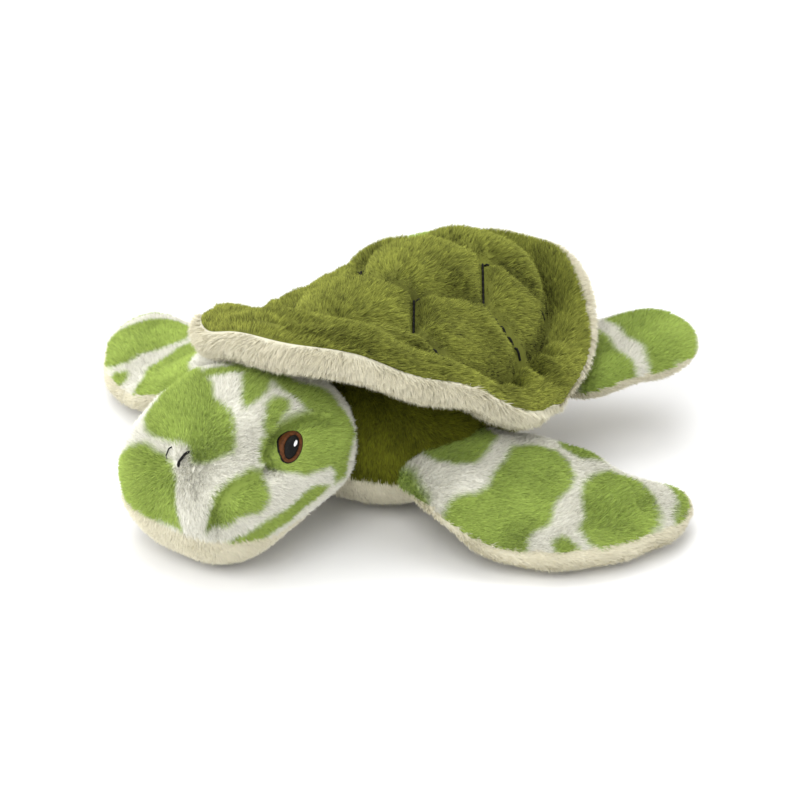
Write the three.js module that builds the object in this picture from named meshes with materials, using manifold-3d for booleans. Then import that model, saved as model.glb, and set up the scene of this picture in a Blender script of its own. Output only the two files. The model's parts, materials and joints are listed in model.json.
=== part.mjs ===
// A stuffed sea turtle lying on its belly: a quilted shell on a round body, a blunt head that rests
// on its chin, two broad front flippers and two short rear ones, all sewn from plush cloth.
// Millimetres, +Z up, head towards -Y, the turtle's left side at +X, standing on z = 0.

import * as THREE from 'three';
import { mergeVertices } from 'three/addons/utils/BufferGeometryUtils.js';
import Module from 'manifold-3d';

// Cloth and fits
const CLOTH = 1.8;               // plush cloth with its backing
const SEAM_GAP = 0.3;            // between neighbouring pieces
const NECK_GAP = 0.6;            // between the head's collar and the ball of the neck
const SEAT_GAP = 0.7;            // between the shell and the body under it

// Body: a round front that the head nods on, and a long tapering rear
const BODY_HALF_WIDTH = 62;
const BODY_HALF_HEIGHT = 36;     // also the radius of the round front, seen from the side
const BODY_MID_HEIGHT = 33;
const BODY_REAR_REACH = 112;     // from the widest place to the tail
const BODY_WIDEST_BACK = -30;    // y of the widest place, and of the neck's axis
const BELLY_SEAM_HEIGHT = 25;

// Head: a rounded block, flat under the chin
const HEAD_HALF_WIDTH = 40;
const HEAD_FRONT_REACH = 42;     // from the middle of the head to the nose
const HEAD_REAR_REACH = 50;
const HEAD_HALF_HEIGHT = 38;
const HEAD_MID_HEIGHT = 35.5;
const HEAD_AHEAD = 68;           // from the neck's axis to the middle of the head
const HEAD_PLAN_POWER = 2.9;     // 2 is an ellipse, higher is blunter
const HEAD_SIDE_POWER = 2.3;
const HEAD_NOSE_DROP = 0.14;     // share of its height that the forehead loses towards the nose
const CHIN_SEAM_HEIGHT = 22;
const CROWN_NOSE_WIDTH = 46;     // the crown panel between the cheeks, at the nose
const CROWN_NECK_WIDTH = 62;     // and at the neck

// Embroidered eyes
const EYE_HEIGHT = 57;
const EYE_BEHIND_NOSE = 38;
const EYE_LENGTH = 14.4;
const EYE_WIDTH = 9;
const EYE_LONG_AXIS = [0.79, 0.553];     // back and up on the cheek, seen from the side
const EYE_SHORT_AXIS = [-0.71, 0.527];
const IRIS_BAND = 2.1;
const GLINT_SIZE = 2.2;
const EYE_RAISE = 1.1;           // thickness of the stitching

// Shell
const SHELL_HALF_WIDTH = 80;
const SHELL_HALF_LENGTH = 92;
const SHELL_CROWN_RISE = 19;     // top of the dome above the top of the body
const SHELL_CROWN_LEAN = 0.15;   // slope of the dome's top, up towards the rear
const BRIM_OVER_HEAD = 4.5;      // room between the head and the brim above it
const BRIM_LOW_HEIGHT = 44;      // middle of the edge above the floor, where it hangs lowest
const BRIM_LOW_TURN = 1.85;      // turn of that place from the front, radians
const BRIM_REAR_HEIGHT = 65;
const BRIM_RISE_POWER = 1.15;    // how late the edge rises from there to the front and rear
const BRIM_LEFT_LIFT = 17;       // the front of the brim stands up on the left and hangs on the right
const BRIM_WIDTH = 20;           // from the edge to the foot of the dome
const BRIM_SIDE_SLOPE = 4;       // drop from the foot of the dome to the edge, at the sides
const BRIM_FRONT_SLOPE = 0;
const BRIM_REAR_SLOPE = -4;      // the edge turns up there
const BRIM_EDGE_HEIGHT = 11;     // thickness of the rolled edge
const BRIM_EDGE_ROUND = 8;       // how far the rolled edge swells outwards
const BRIM_SEAM_ANGLE = 0.6;     // seam of top and lining on the rolled edge, radians above level
const DOME_POWER = 0.65;         // 0.5 is a round dome, higher is more pointed
const LINING_POWER = 0.8;        // 1 is a straight fall to the edge, lower is deeper near the middle
const QUILT_DEPTH = 4.3;         // depth of the sewn lines between the scutes
const SCUTE_SHOULDER = 0.3;      // share of a scute over which it rounds down to its seam
const SCUTE_MIDDLE_ROWS = 2;     // whole scutes in the middle row
const SCUTE_LENGTH = 44;         // pitch of the cross seams
const SCUTE_FRONT_SEAM = -50;    // y of the first cross seam
const SCUTE_NARROW = 32;         // width of the middle row at a cross seam
const SCUTE_WIDE = 72;           // and halfway between two
const NARROW_SEAM_FAN = 2.2;     // how much further out a side seam runs than it starts
const WIDE_SEAM_FAN = 1.6;

// Front flippers: the left one trails back, the right one lies further forward
const FRONT_ROOT_BACK = -32;     // y where the root touches the body
const FRONT_ROOT_HEIGHT = 27;
const FRONT_ROOT_WIDTH = 50;
const FRONT_REACH = 68;          // from the hinge straight out to the tip
const FRONT_TRAIL = 64;          // from the hinge back to the tip
const FRONT_HALF_THICK = 9;
const FRONT_TIP_HEIGHT = 11;     // of the seam above the floor
const FRONT_LEFT_SWING = 0;      // swing of the blade towards the head, radians
const FRONT_RIGHT_SWING = 0.5;

// Rear flippers
const REAR_ROOT_BACK = 57;
const REAR_ROOT_HEIGHT = 34;
const REAR_ROOT_WIDTH = 32;
const REAR_REACH = 57;
const REAR_TRAIL = 41;
const REAR_HALF_THICK = 8;
const REAR_TIP_HEIGHT = 40;
const REAR_SWING = 0;

// Facets
const ROUND_STEPS = 32;          // round the body, head and shell
const FLIPPER_STEPS = 28;        // round a flipper's outline
const ROOT_STEPS = 4;            // of them along its root
const FOOT_SLACK = 1;            // how far a facet's middle may lie inside the foot of the dome

const wasm = await Module();
wasm.setup();

// Plush and thread
const plush = (color) => new THREE.MeshStandardMaterial({ color, roughness: 0.95, metalness: 0 });
const OLIVE = plush(0x797c3a);
const DARK_OLIVE = plush(0x3c3e14);
const CREAM = plush(0xd6d1b8);
const PRINT = plush(0x8ca148);
const STUFFING = plush(0xf0eeea);
const BROWN_THREAD = new THREE.MeshStandardMaterial({ color: 0x5b3a1d, roughness: 0.5, metalness: 0 });
const BLACK_THREAD = new THREE.MeshStandardMaterial({ color: 0x121210, roughness: 0.5, metalness: 0 });
const WHITE_THREAD = new THREE.MeshStandardMaterial({ color: 0xf4f4f0, roughness: 0.5, metalness: 0 });

const turtle = new THREE.Group();

function addPiece(group, name, geometry, material) {
  const mesh = new THREE.Mesh(geometry, material);
  mesh.name = name;
  group.add(mesh);
  return mesh;
}

// Closed solids from rings of points

function facingOut(geometry) {
  const at = geometry.attributes.position;
  const index = geometry.index.array;
  const [a, b, c] = [new THREE.Vector3(), new THREE.Vector3(), new THREE.Vector3()];
  let volume = 0;
  for (let i = 0; i < index.length; i += 3) {
    a.fromBufferAttribute(at, index[i]);
    b.fromBufferAttribute(at, index[i + 1]);
    c.fromBufferAttribute(at, index[i + 2]);
    volume += a.dot(b.cross(c));
  }
  if (volume < 0) {
    for (let i = 0; i < index.length; i += 3) [index[i], index[i + 1]] = [index[i + 1], index[i]];
  }
  geometry.computeVertexNormals();
  return geometry;
}

// Triangles that join each ring to the next, as corners in threes. A ring of one point closes the
// skin there; with loop, the last ring joins the first. Each four-sided face is split along its
// shorter diagonal, so that skins which follow each other split alike.
function ringSkin(rings, loop = false) {
  const corners = [];
  const last = loop ? rings.length : rings.length - 1;
  for (let k = 0; k < last; k++) {
    const [near, far] = [rings[k], rings[(k + 1) % rings.length]];
    const steps = Math.max(near.length, far.length);
    for (let i = 0; i < steps; i++) {
      const j = (i + 1) % steps;
      const [a, b] = [near[i % near.length], near[j % near.length]];
      const [d, c] = [far[i % far.length], far[j % far.length]];
      if (near.length === 1) corners.push(a, d, c);
      else if (far.length === 1) corners.push(a, d, b);
      else if (a.distanceTo(c) < b.distanceTo(d)) corners.push(a, d, c, a, c, b);
      else corners.push(a, d, b, d, c, b);
    }
  }
  return corners;
}

function solidFromCorners(corners) {
  const loose = new THREE.BufferGeometry();
  const flat = corners.flatMap((p) => [p.x, p.y, p.z]);
  loose.setAttribute('position', new THREE.Float32BufferAttribute(flat, 3));
  return facingOut(mergeVertices(loose, 1e-3));
}

const solidFromRings = (rings, loop = false) => solidFromCorners(ringSkin(rings, loop));

function toSolid(geometry) {
  const bare = geometry.clone();
  bare.deleteAttribute('normal');
  bare.deleteAttribute('uv');
  const merged = mergeVertices(bare, 1e-4);
  return new wasm.Manifold(new wasm.Mesh({
    numProp: 3,
    vertProperties: new Float32Array(merged.attributes.position.array),
    triVerts: new Uint32Array(merged.index.array),
  }));
}

function toGeometry(solid) {
  const mesh = solid.getMesh();
  const geometry = new THREE.BufferGeometry();
  geometry.setAttribute('position', new THREE.BufferAttribute(mesh.vertProperties, 3));
  geometry.setIndex(new THREE.BufferAttribute(mesh.triVerts, 1));
  geometry.computeVertexNormals();
  return geometry;
}

const turns = (steps) => Array.from({ length: steps }, (_, i) => (i / steps) * Math.PI * 2);
const spread = (from, to, steps) =>
  Array.from({ length: steps + 1 }, (_, i) => from + ((to - from) * i) / steps);
const blend = (a, b, share) => a + (b - a) * share;
const smooth = (share) => THREE.MathUtils.smoothstep(share, 0, 1);
const UP = new THREE.Vector3(0, 0, 1);

// Body

const BODY_TOP = BODY_MID_HEIGHT + BODY_HALF_HEIGHT;

// Share of the body's width and length that is left at a height.
function bodyShare(z, inset) {
  const rise = (z - BODY_MID_HEIGHT) / (BODY_HALF_HEIGHT - inset);
  return Math.sqrt(Math.max(0, 1 - rise * rise));
}

function bodyRing(z, inset) {
  const share = bodyShare(z, inset);
  return turns(ROUND_STEPS).map((turn) => {
    const reach = Math.cos(turn) > 0 ? BODY_HALF_HEIGHT : BODY_REAR_REACH;
    return new THREE.Vector3(
      (BODY_HALF_WIDTH - inset) * share * Math.sin(turn),
      BODY_WIDEST_BACK - (reach - inset) * share * Math.cos(turn),
      z,
    );
  });
}

// Heights from one level to another, closer together where the body rounds off.
function bodyLevels(from, to, inset, steps) {
  const half = BODY_HALF_HEIGHT - inset;
  const angle = (z) => Math.asin(THREE.MathUtils.clamp((z - BODY_MID_HEIGHT) / half, -1, 1));
  return spread(angle(from), angle(to), steps).map((a) => BODY_MID_HEIGHT + half * Math.sin(a));
}

const bodyPole = (z) => [new THREE.Vector3(0, BODY_WIDEST_BACK, z)];
const bodyRings = (levels, inset) => levels.map((z) => bodyRing(z, inset));

const [BACK_RINGS, BELLY_RINGS] = [8, 3];

function bodyBack() {
  const seam = BELLY_SEAM_HEIGHT + SEAM_GAP / 2;
  const inside = BODY_TOP - CLOTH;
  return solidFromRings([
    bodyPole(BODY_TOP),
    ...bodyRings(bodyLevels(BODY_TOP, seam, 0, BACK_RINGS).slice(1), 0),
    ...bodyRings(bodyLevels(seam, inside, CLOTH, BACK_RINGS).slice(0, -1), CLOTH),
    bodyPole(inside),
  ]);
}

function belly() {
  const seam = BELLY_SEAM_HEIGHT - SEAM_GAP / 2;
  return solidFromRings([
    bodyPole(0),
    ...bodyRings(bodyLevels(0, seam, 0, BELLY_RINGS), 0),
    ...bodyRings(bodyLevels(seam, CLOTH, CLOTH, BELLY_RINGS), CLOTH),
    bodyPole(CLOTH),
  ]);
}

function bodyFilling() {
  const inset = CLOTH + SEAM_GAP;
  const top = BODY_TOP - inset;
  return solidFromRings([
    bodyPole(inset),
    ...bodyRings(bodyLevels(inset, BELLY_SEAM_HEIGHT, inset, BELLY_RINGS).slice(0, -1), inset),
    ...bodyRings(bodyLevels(BELLY_SEAM_HEIGHT, top, inset, BACK_RINGS).slice(0, -1), inset),
    bodyPole(top),
  ]);
}

// Height of the body's top over a place in plan, or the floor outside it.
function bodyTopAt(x, y) {
  const reach = y < BODY_WIDEST_BACK ? BODY_HALF_HEIGHT : BODY_REAR_REACH;
  const left = 1 - (x / BODY_HALF_WIDTH) ** 2 - ((y - BODY_WIDEST_BACK) / reach) ** 2;
  return left > 0 ? BODY_MID_HEIGHT + BODY_HALF_HEIGHT * Math.sqrt(left) : 0;
}

const bodyGroup = new THREE.Group();
turtle.add(bodyGroup);
addPiece(bodyGroup, 'body_back', bodyBack(), DARK_OLIVE);
addPiece(bodyGroup, 'belly', belly(), CREAM);
addPiece(bodyGroup, 'body_filling', bodyFilling(), STUFFING);

// Head, round its own middle

const HEAD_MIDDLE = BODY_WIDEST_BACK - HEAD_AHEAD;
const HEAD_TOP = HEAD_MID_HEIGHT + HEAD_HALF_HEIGHT;

function headShare(z, inset) {
  const rise = Math.abs(z - HEAD_MID_HEIGHT) / (HEAD_HALF_HEIGHT - inset);
  return Math.max(0, 1 - rise ** HEAD_SIDE_POWER) ** (1 / HEAD_SIDE_POWER);
}

// What is left of a height at the front of the head, where the forehead slopes down.
function headSlope(y) {
  return 1 - HEAD_NOSE_DROP * Math.max(0, (HEAD_MIDDLE - y) / HEAD_FRONT_REACH);
}

function headRing(z, inset, steps) {
  const share = headShare(z, inset);
  return turns(steps).map((turn) => {
    const [across, ahead] = [Math.sin(turn), Math.cos(turn)];
    const reach = ahead > 0 ? HEAD_FRONT_REACH : HEAD_REAR_REACH;
    const bulk = Math.abs(across / (HEAD_HALF_WIDTH - inset)) ** HEAD_PLAN_POWER
      + Math.abs(ahead / (reach - inset)) ** HEAD_PLAN_POWER;
    const radius = share / bulk ** (1 / HEAD_PLAN_POWER);
    const y = HEAD_MIDDLE - radius * ahead;
    return new THREE.Vector3(radius * across, y, inset + (z - inset) * headSlope(y));
  });
}

// Half width of the head at a place seen from the side.
function headHalfWidthAt(y, z) {
  const reach = y < HEAD_MIDDLE ? HEAD_FRONT_REACH : HEAD_REAR_REACH;
  const left = headShare(z / headSlope(y), 0) ** HEAD_PLAN_POWER
    - Math.abs((y - HEAD_MIDDLE) / reach) ** HEAD_PLAN_POWER;
  return HEAD_HALF_WIDTH * Math.max(0, left) ** (1 / HEAD_PLAN_POWER);
}

function headSolid(inset, steps, levels) {
  const half = HEAD_HALF_HEIGHT - inset;
  const low = Math.asin((inset - HEAD_MID_HEIGHT) / half);
  const heights = spread(low, Math.PI / 2, levels).map((a) => HEAD_MID_HEIGHT + half * Math.sin(a));
  return toSolid(solidFromRings([
    [new THREE.Vector3(0, HEAD_MIDDLE, inset)],
    ...heights.slice(0, -1).map((z) => headRing(z, inset, steps)),
    [new THREE.Vector3(0, HEAD_MIDDLE, HEAD_TOP - inset)],
  ]));
}

// The round front of the body, a little larger: the collar of the head slides on it.
function neckBall(clearance) {
  const ball = new THREE.SphereGeometry(1, ROUND_STEPS, ROUND_STEPS / 2);
  ball.rotateZ(Math.PI / 2);
  const radius = BODY_HALF_HEIGHT + clearance;
  ball.scale(BODY_HALF_WIDTH + clearance, radius, radius);
  ball.translate(0, BODY_WIDEST_BACK, BODY_MID_HEIGHT);
  return toSolid(ball);
}

// An upright block over an outline in plan, from one height to another.
function block(outline, low, high) {
  const shape = new THREE.Shape(outline.map(([x, y]) => new THREE.Vector2(x, y)));
  const solid = new THREE.ExtrudeGeometry(shape, { depth: high - low, bevelEnabled: false });
  solid.translate(0, 0, low);
  return toSolid(solid);
}

const HEAD_FRONT = HEAD_MIDDLE - HEAD_FRONT_REACH - CLOTH;
const HEAD_REAR = HEAD_MIDDLE + HEAD_REAR_REACH + CLOTH;

// What the crown panel covers: the face down to the chin, and behind it the part above the neck.
// It is widened or narrowed by a gap and runs past the head.
function crownBlock(extra) {
  const halfWidth = (y) => extra + blend(
    CROWN_NOSE_WIDTH / 2,
    CROWN_NECK_WIDTH / 2,
    (y - HEAD_FRONT) / (HEAD_REAR - HEAD_FRONT),
  );
  const strip = (front, rear, low) => block([
    [-halfWidth(front), front],
    [halfWidth(front), front],
    [halfWidth(rear), rear],
    [-halfWidth(rear), rear],
  ], low, HEAD_TOP + CLOTH);
  return strip(HEAD_FRONT, HEAD_MIDDLE, CHIN_SEAM_HEIGHT - extra)
    .add(strip(HEAD_FRONT, HEAD_REAR, BODY_MID_HEIGHT - extra));
}

// One side of the head, or both with no gap, between two heights.
function sideBlock(side, gap, low, high) {
  const [near, far] = [side * gap / 2, side * (HEAD_HALF_WIDTH + CLOTH)];
  const [from, to] = [Math.min(near, far), Math.max(near, far)];
  return block([[from, HEAD_FRONT], [to, HEAD_FRONT], [to, HEAD_REAR], [from, HEAD_REAR]], low, high);
}

const headGroup = new THREE.Group();
turtle.add(headGroup);
const collar = neckBall(NECK_GAP);
const headCover = headSolid(0, ROUND_STEPS, 12).subtract(headSolid(CLOTH, 24, 9)).subtract(collar);
const chinTop = CHIN_SEAM_HEIGHT - SEAM_GAP;
const chinBlock = sideBlock(1, 0, -CLOTH, chinTop).add(sideBlock(-1, 0, -CLOTH, chinTop));
addPiece(headGroup, 'head_crown', toGeometry(headCover.intersect(crownBlock(0))), PRINT);
for (const [name, side] of [['left', 1], ['right', -1]]) {
  const cheek = headCover
    .intersect(sideBlock(side, SEAM_GAP, CHIN_SEAM_HEIGHT, HEAD_TOP + CLOTH))
    .subtract(crownBlock(SEAM_GAP));
  addPiece(headGroup, `head_cheek_${name}`, toGeometry(cheek), PRINT);
}
addPiece(headGroup, 'chin', toGeometry(headCover.intersect(chinBlock)), CREAM);
const headFilling = headSolid(CLOTH + SEAM_GAP, 24, 9).subtract(collar);
addPiece(headGroup, 'head_filling', toGeometry(headFilling), STUFFING);

// Eyes: three thread fields that follow the cheek, ring within ring

const EYE_MIDDLE = HEAD_MIDDLE - HEAD_FRONT_REACH + EYE_BEHIND_NOSE;

// A point on the cheek, from the middle of the eye along and across its long axis.
function eyePoint(side, along, across, raise) {
  const y = EYE_MIDDLE + along * EYE_LONG_AXIS[0] + across * EYE_SHORT_AXIS[0];
  const z = EYE_HEIGHT + along * EYE_LONG_AXIS[1] + across * EYE_SHORT_AXIS[1];
  return new THREE.Vector3(side * (headHalfWidthAt(y, z) + raise), y, z);
}

function eyeRing(side, length, width, raise, shift = [0, 0]) {
  return turns(20).map((turn) => eyePoint(
    side,
    shift[0] + (length / 2) * Math.cos(turn),
    shift[1] + (width / 2) * Math.sin(turn),
    raise,
  ));
}

const [PUPIL_LENGTH, PUPIL_WIDTH] = [EYE_LENGTH - 2 * IRIS_BAND, EYE_WIDTH - 2 * IRIS_BAND];
const GLINT_SHIFT = [(PUPIL_LENGTH - GLINT_SIZE) / 5, (GLINT_SIZE - PUPIL_WIDTH) / 6];
const [EYE_LOW, EYE_HIGH] = [SEAM_GAP, SEAM_GAP + EYE_RAISE];

// A band of thread between two ovals.
function threadBand(side, outer, inner, innerShift) {
  return solidFromRings([
    eyeRing(side, outer[0], outer[1], EYE_LOW),
    eyeRing(side, outer[0], outer[1], EYE_HIGH),
    eyeRing(side, inner[0], inner[1], EYE_HIGH, innerShift),
    eyeRing(side, inner[0], inner[1], EYE_LOW, innerShift),
  ], true);
}

function threadSpot(side, size, shift) {
  return solidFromRings([
    [eyePoint(side, shift[0], shift[1], EYE_LOW)],
    eyeRing(side, size, size, EYE_LOW, shift),
    eyeRing(side, size, size, EYE_HIGH, shift),
    [eyePoint(side, shift[0], shift[1], EYE_HIGH)],
  ]);
}

for (const [name, side] of [['left', 1], ['right', -1]]) {
  const pupil = [PUPIL_LENGTH - 2 * SEAM_GAP, PUPIL_WIDTH - 2 * SEAM_GAP];
  const hole = GLINT_SIZE + 2 * SEAM_GAP;
  const iris = threadBand(side, [EYE_LENGTH, EYE_WIDTH], [PUPIL_LENGTH, PUPIL_WIDTH], [0, 0]);
  addPiece(headGroup, `eye_iris_${name}`, iris, BROWN_THREAD);
  const black = threadBand(side, pupil, [hole, hole], GLINT_SHIFT);
  addPiece(headGroup, `eye_pupil_${name}`, black, BLACK_THREAD);
  addPiece(headGroup, `eye_glint_${name}`, threadSpot(side, GLINT_SIZE, GLINT_SHIFT), WHITE_THREAD);
}

// Shell: everything is worked out by its turn from the front and its share of the way to the edge

const BRIM_FRONT_HEIGHT = HEAD_TOP + BRIM_OVER_HEAD + BRIM_EDGE_HEIGHT / 2;
const SHELL_TOP = BODY_TOP + SHELL_CROWN_RISE;
const SHELL_SEAT = BODY_TOP + SEAT_GAP;

const shellRadius = (turn) =>
  1 / Math.hypot(Math.sin(turn) / SHELL_HALF_WIDTH, Math.cos(turn) / SHELL_HALF_LENGTH);

function brimHeight(turn) {
  const away = Math.acos(Math.cos(turn));
  const ahead = away < BRIM_LOW_TURN;
  const share = ahead ? 1 - away / BRIM_LOW_TURN : (away - BRIM_LOW_TURN) / (Math.PI - BRIM_LOW_TURN);
  const rise = Math.sin(Math.PI / 2 * share ** BRIM_RISE_POWER);
  const lift = BRIM_LEFT_LIFT * Math.sin(turn) * Math.max(0, Math.cos(turn));
  return blend(BRIM_LOW_HEIGHT, ahead ? BRIM_FRONT_HEIGHT : BRIM_REAR_HEIGHT, rise) + lift;
}

const onPlan = (turn, radius, z) =>
  new THREE.Vector3(radius * Math.sin(turn), -radius * Math.cos(turn), z);
const turnOf = (x, y) => Math.atan2(x, -y);

// Drop of the brim from the foot of the dome to its edge, and how much of it a place is above the edge.
function brimDrop(turn, radius) {
  const ahead = Math.cos(turn);
  const drop = blend(BRIM_SIDE_SLOPE, ahead > 0 ? BRIM_FRONT_SLOPE : BRIM_REAR_SLOPE, ahead ** 2);
  const foot = shellRadius(turn) - BRIM_WIDTH;
  const inwards = shellRadius(turn) - BRIM_EDGE_ROUND - radius;
  const share = Math.max(0, inwards) / (BRIM_WIDTH - BRIM_EDGE_ROUND);
  return drop * (radius < foot ? (radius / foot) ** 2 : share);
}

// Height of the upper face without its quilting.
function shellTopAt(turn, radius) {
  const foot = shellRadius(turn) - BRIM_WIDTH;
  const edgeHeight = brimHeight(turn) + BRIM_EDGE_HEIGHT / 2;
  if (radius >= foot) {
    return edgeHeight + brimDrop(turn, radius);
  }
  const crown = SHELL_TOP - SHELL_CROWN_LEAN * radius * Math.cos(turn);
  return blend(edgeHeight + brimDrop(turn, foot), crown, (1 - (radius / foot) ** 2) ** DOME_POWER);
}

// Height of the lower face: a dish that rests on the body, and follows the brim where its edge turns up.
function shellUnderAt(turn, radius) {
  const edge = shellRadius(turn) - BRIM_EDGE_ROUND;
  const rim = brimHeight(turn) - BRIM_EDGE_HEIGHT / 2;
  const dish = blend(SHELL_SEAT, rim, Math.min(1, radius / edge) ** LINING_POWER);
  const place = onPlan(turn, radius, 0);
  return Math.max(dish + Math.min(0, brimDrop(turn, radius)), bodyTopAt(place.x, place.y) + SEAT_GAP);
}

// Height of the inner face of the top cloth, which lies below the deepest sewn line.
function shellInsideAt(turn, radius) {
  const inwards = shellRadius(turn) - BRIM_EDGE_ROUND - radius;
  return shellTopAt(turn, radius) - CLOTH - QUILT_DEPTH * smooth(inwards / (BRIM_WIDTH - BRIM_EDGE_ROUND));
}

// Rings of the faces, as shares of the way out to the rolled edge.
const TOP_SHARES = [0.88, 0.72, 0.48, 0.24];
const UNDER_SHARES = [0.2, 0.4, 0.6, 0.8];

// The rolled edge, as rings from one angle to another.
function edgeRings(angles, from, to, steps, inset) {
  return spread(from, to, steps).map((tilt) => angles.map((turn) => onPlan(
    turn,
    shellRadius(turn) - BRIM_EDGE_ROUND + (BRIM_EDGE_ROUND - inset) * Math.cos(tilt),
    brimHeight(turn) + (BRIM_EDGE_HEIGHT / 2 - inset) * Math.sin(tilt),
  )));
}

// Rings of a face from near the edge inwards, at shares of the way out.
const faceRings = (angles, shares, heightAt) => shares.map((share) => angles.map((turn) => {
  const radius = (shellRadius(turn) - BRIM_EDGE_ROUND) * share;
  return onPlan(turn, radius, heightAt(turn, radius));
}));

// Scutes: a middle row that narrows at each cross seam, and side scutes out to the foot of the dome

const seamPoint = (side, halfWidth, y) => new THREE.Vector2(side * halfWidth, y);
const crossSeam = (k) => SCUTE_FRONT_SEAM + k * SCUTE_LENGTH;
const narrowPoint = (side, k) => seamPoint(side, SCUTE_NARROW / 2, crossSeam(k));
const widePoint = (side, k) => seamPoint(side, SCUTE_WIDE / 2, crossSeam(k + 0.5));

// Where a seam that leaves the middle row sideways reaches the foot of the dome.
const seamTurn = (p, fan) => turnOf(p.x * fan, p.y);
const narrowTurn = (side, k) => seamTurn(narrowPoint(side, k), NARROW_SEAM_FAN);
const wideTurn = (side, k) => seamTurn(widePoint(side, k), WIDE_SEAM_FAN);

function footArc(from, to) {
  const steps = Math.ceil(Math.abs(to - from) * ROUND_STEPS / (2 * Math.PI));
  return spread(from, to, steps).map((turn) => {
    const p = onPlan(turn, shellRadius(turn) - BRIM_WIDTH, 0);
    return new THREE.Vector2(p.x, p.y);
  });
}

// Outlines of the scutes of one side, from front to rear.
function sideScutes(side) {
  const last = SCUTE_MIDDLE_ROWS;
  const rows = Array.from({ length: last - 1 }, (_, k) => [
    widePoint(side, k),
    ...footArc(wideTurn(side, k), wideTurn(side, k + 1)),
    widePoint(side, k + 1),
    narrowPoint(side, k + 1),
  ]);
  return [
    [narrowPoint(side, 0), ...footArc(narrowTurn(side, 0), wideTurn(side, 0)), widePoint(side, 0)],
    ...rows,
    [
      widePoint(side, last - 1),
      ...footArc(wideTurn(side, last - 1), narrowTurn(side, last)),
      narrowPoint(side, last),
    ],
  ];
}

function scuteOutlines() {
  const last = SCUTE_MIDDLE_ROWS;
  const middle = Array.from({ length: last }, (_, k) => [
    narrowPoint(-1, k),
    narrowPoint(1, k),
    widePoint(1, k),
    narrowPoint(1, k + 1),
    narrowPoint(-1, k + 1),
    widePoint(-1, k),
  ]);
  const front = [
    narrowPoint(-1, 0),
    ...footArc(narrowTurn(-1, 0), narrowTurn(1, 0)),
    narrowPoint(1, 0),
  ];
  const rear = [
    narrowPoint(1, last),
    ...footArc(narrowTurn(1, last), narrowTurn(-1, last) + 2 * Math.PI),
    narrowPoint(-1, last),
  ];
  const right = sideScutes(-1).map((outline) => outline.reverse());
  return [front, ...middle, ...sideScutes(1), ...right, rear];
}

const topPoint = (p, drop) => {
  const turn = turnOf(p.x, p.y);
  return onPlan(turn, p.length(), shellTopAt(turn, p.length()) - drop);
};

// One scute: sewn down along its outline and swelling up inside it.
function scuteFaces(outline) {
  const middle = outline
    .reduce((sum, p) => sum.add(p), new THREE.Vector2())
    .divideScalar(outline.length);
  const inner = outline.map((p) => p.clone().lerp(middle, SCUTE_SHOULDER));
  return ringSkin([
    [topPoint(middle, 0)],
    inner.map((p) => topPoint(p, 0)),
    outline.map((p) => topPoint(p, QUILT_DEPTH)),
  ]);
}

const SCUTES = scuteOutlines();

// The foot of the dome carries the points of every scute that ends there, in order round the shell.
const SHELL_FOOT = SCUTES.flat()
  .filter((p) => p.length() > shellRadius(turnOf(p.x, p.y)) - BRIM_WIDTH - FOOT_SLACK)
  .sort((p, q) => turnOf(p.x, p.y) - turnOf(q.x, q.y))
  .filter((p, i, all) => i === 0 || p.distanceTo(all[i - 1]) > 1e-3);
const SHELL_TURNS = SHELL_FOOT.map((p) => turnOf(p.x, p.y));

function shellTop() {
  const angles = SHELL_TURNS;
  const foot = SHELL_FOOT.map((p) => topPoint(p, QUILT_DEPTH));
  const seam = BRIM_SEAM_ANGLE;
  const brim = [0.3, 0.75].map((share) => angles.map((turn) => {
    const radius = shellRadius(turn) - blend(BRIM_WIDTH, BRIM_EDGE_ROUND, share);
    return onPlan(turn, radius, shellTopAt(turn, radius));
  }));
  return solidFromCorners([
    ...SCUTES.flatMap(scuteFaces),
    ...ringSkin([
      foot,
      ...brim,
      ...edgeRings(angles, Math.PI / 2, seam, 3, 0),
      ...edgeRings(angles, seam, Math.PI / 2, 2, CLOTH),
      ...faceRings(angles, TOP_SHARES, shellInsideAt),
      [onPlan(0, 0, shellInsideAt(0, 0))],
    ]),
  ]);
}

function shellLining() {
  const angles = SHELL_TURNS;
  const seam = BRIM_SEAM_ANGLE - SEAM_GAP / BRIM_EDGE_ROUND;
  const inner = (turn, radius) => shellUnderAt(turn, radius) + CLOTH;
  return solidFromRings([
    [onPlan(0, 0, shellUnderAt(0, 0))],
    ...faceRings(angles, UNDER_SHARES, shellUnderAt),
    ...edgeRings(angles, -Math.PI / 2, seam, 5, 0),
    ...edgeRings(angles, seam, -Math.PI / 2, 3, CLOTH),
    ...faceRings(angles, UNDER_SHARES.toReversed(), inner),
    [onPlan(0, 0, inner(0, 0))],
  ]);
}

function shellWadding() {
  const angles = SHELL_TURNS;
  const inset = CLOTH + SEAM_GAP;
  const top = (turn, radius) => shellInsideAt(turn, radius) - SEAM_GAP;
  const low = (turn, radius) => shellUnderAt(turn, radius) + inset;
  return solidFromRings([
    [onPlan(0, 0, low(0, 0))],
    ...faceRings(angles, UNDER_SHARES, low),
    ...edgeRings(angles, -Math.PI / 2, BRIM_SEAM_ANGLE, 3, inset),
    ...edgeRings(angles, BRIM_SEAM_ANGLE, Math.PI / 2, 2, inset).slice(1),
    ...faceRings(angles, TOP_SHARES, top),
    [onPlan(0, 0, top(0, 0))],
  ]);
}

const shellGroup = new THREE.Group();
turtle.add(shellGroup);
addPiece(shellGroup, 'shell_top', shellTop(), OLIVE);
addPiece(shellGroup, 'shell_lining', shellLining(), CREAM);
addPiece(shellGroup, 'shell_wadding', shellWadding(), STUFFING);

// Flippers: a stuffed paddle round a hinge line that lies along the body's side

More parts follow.
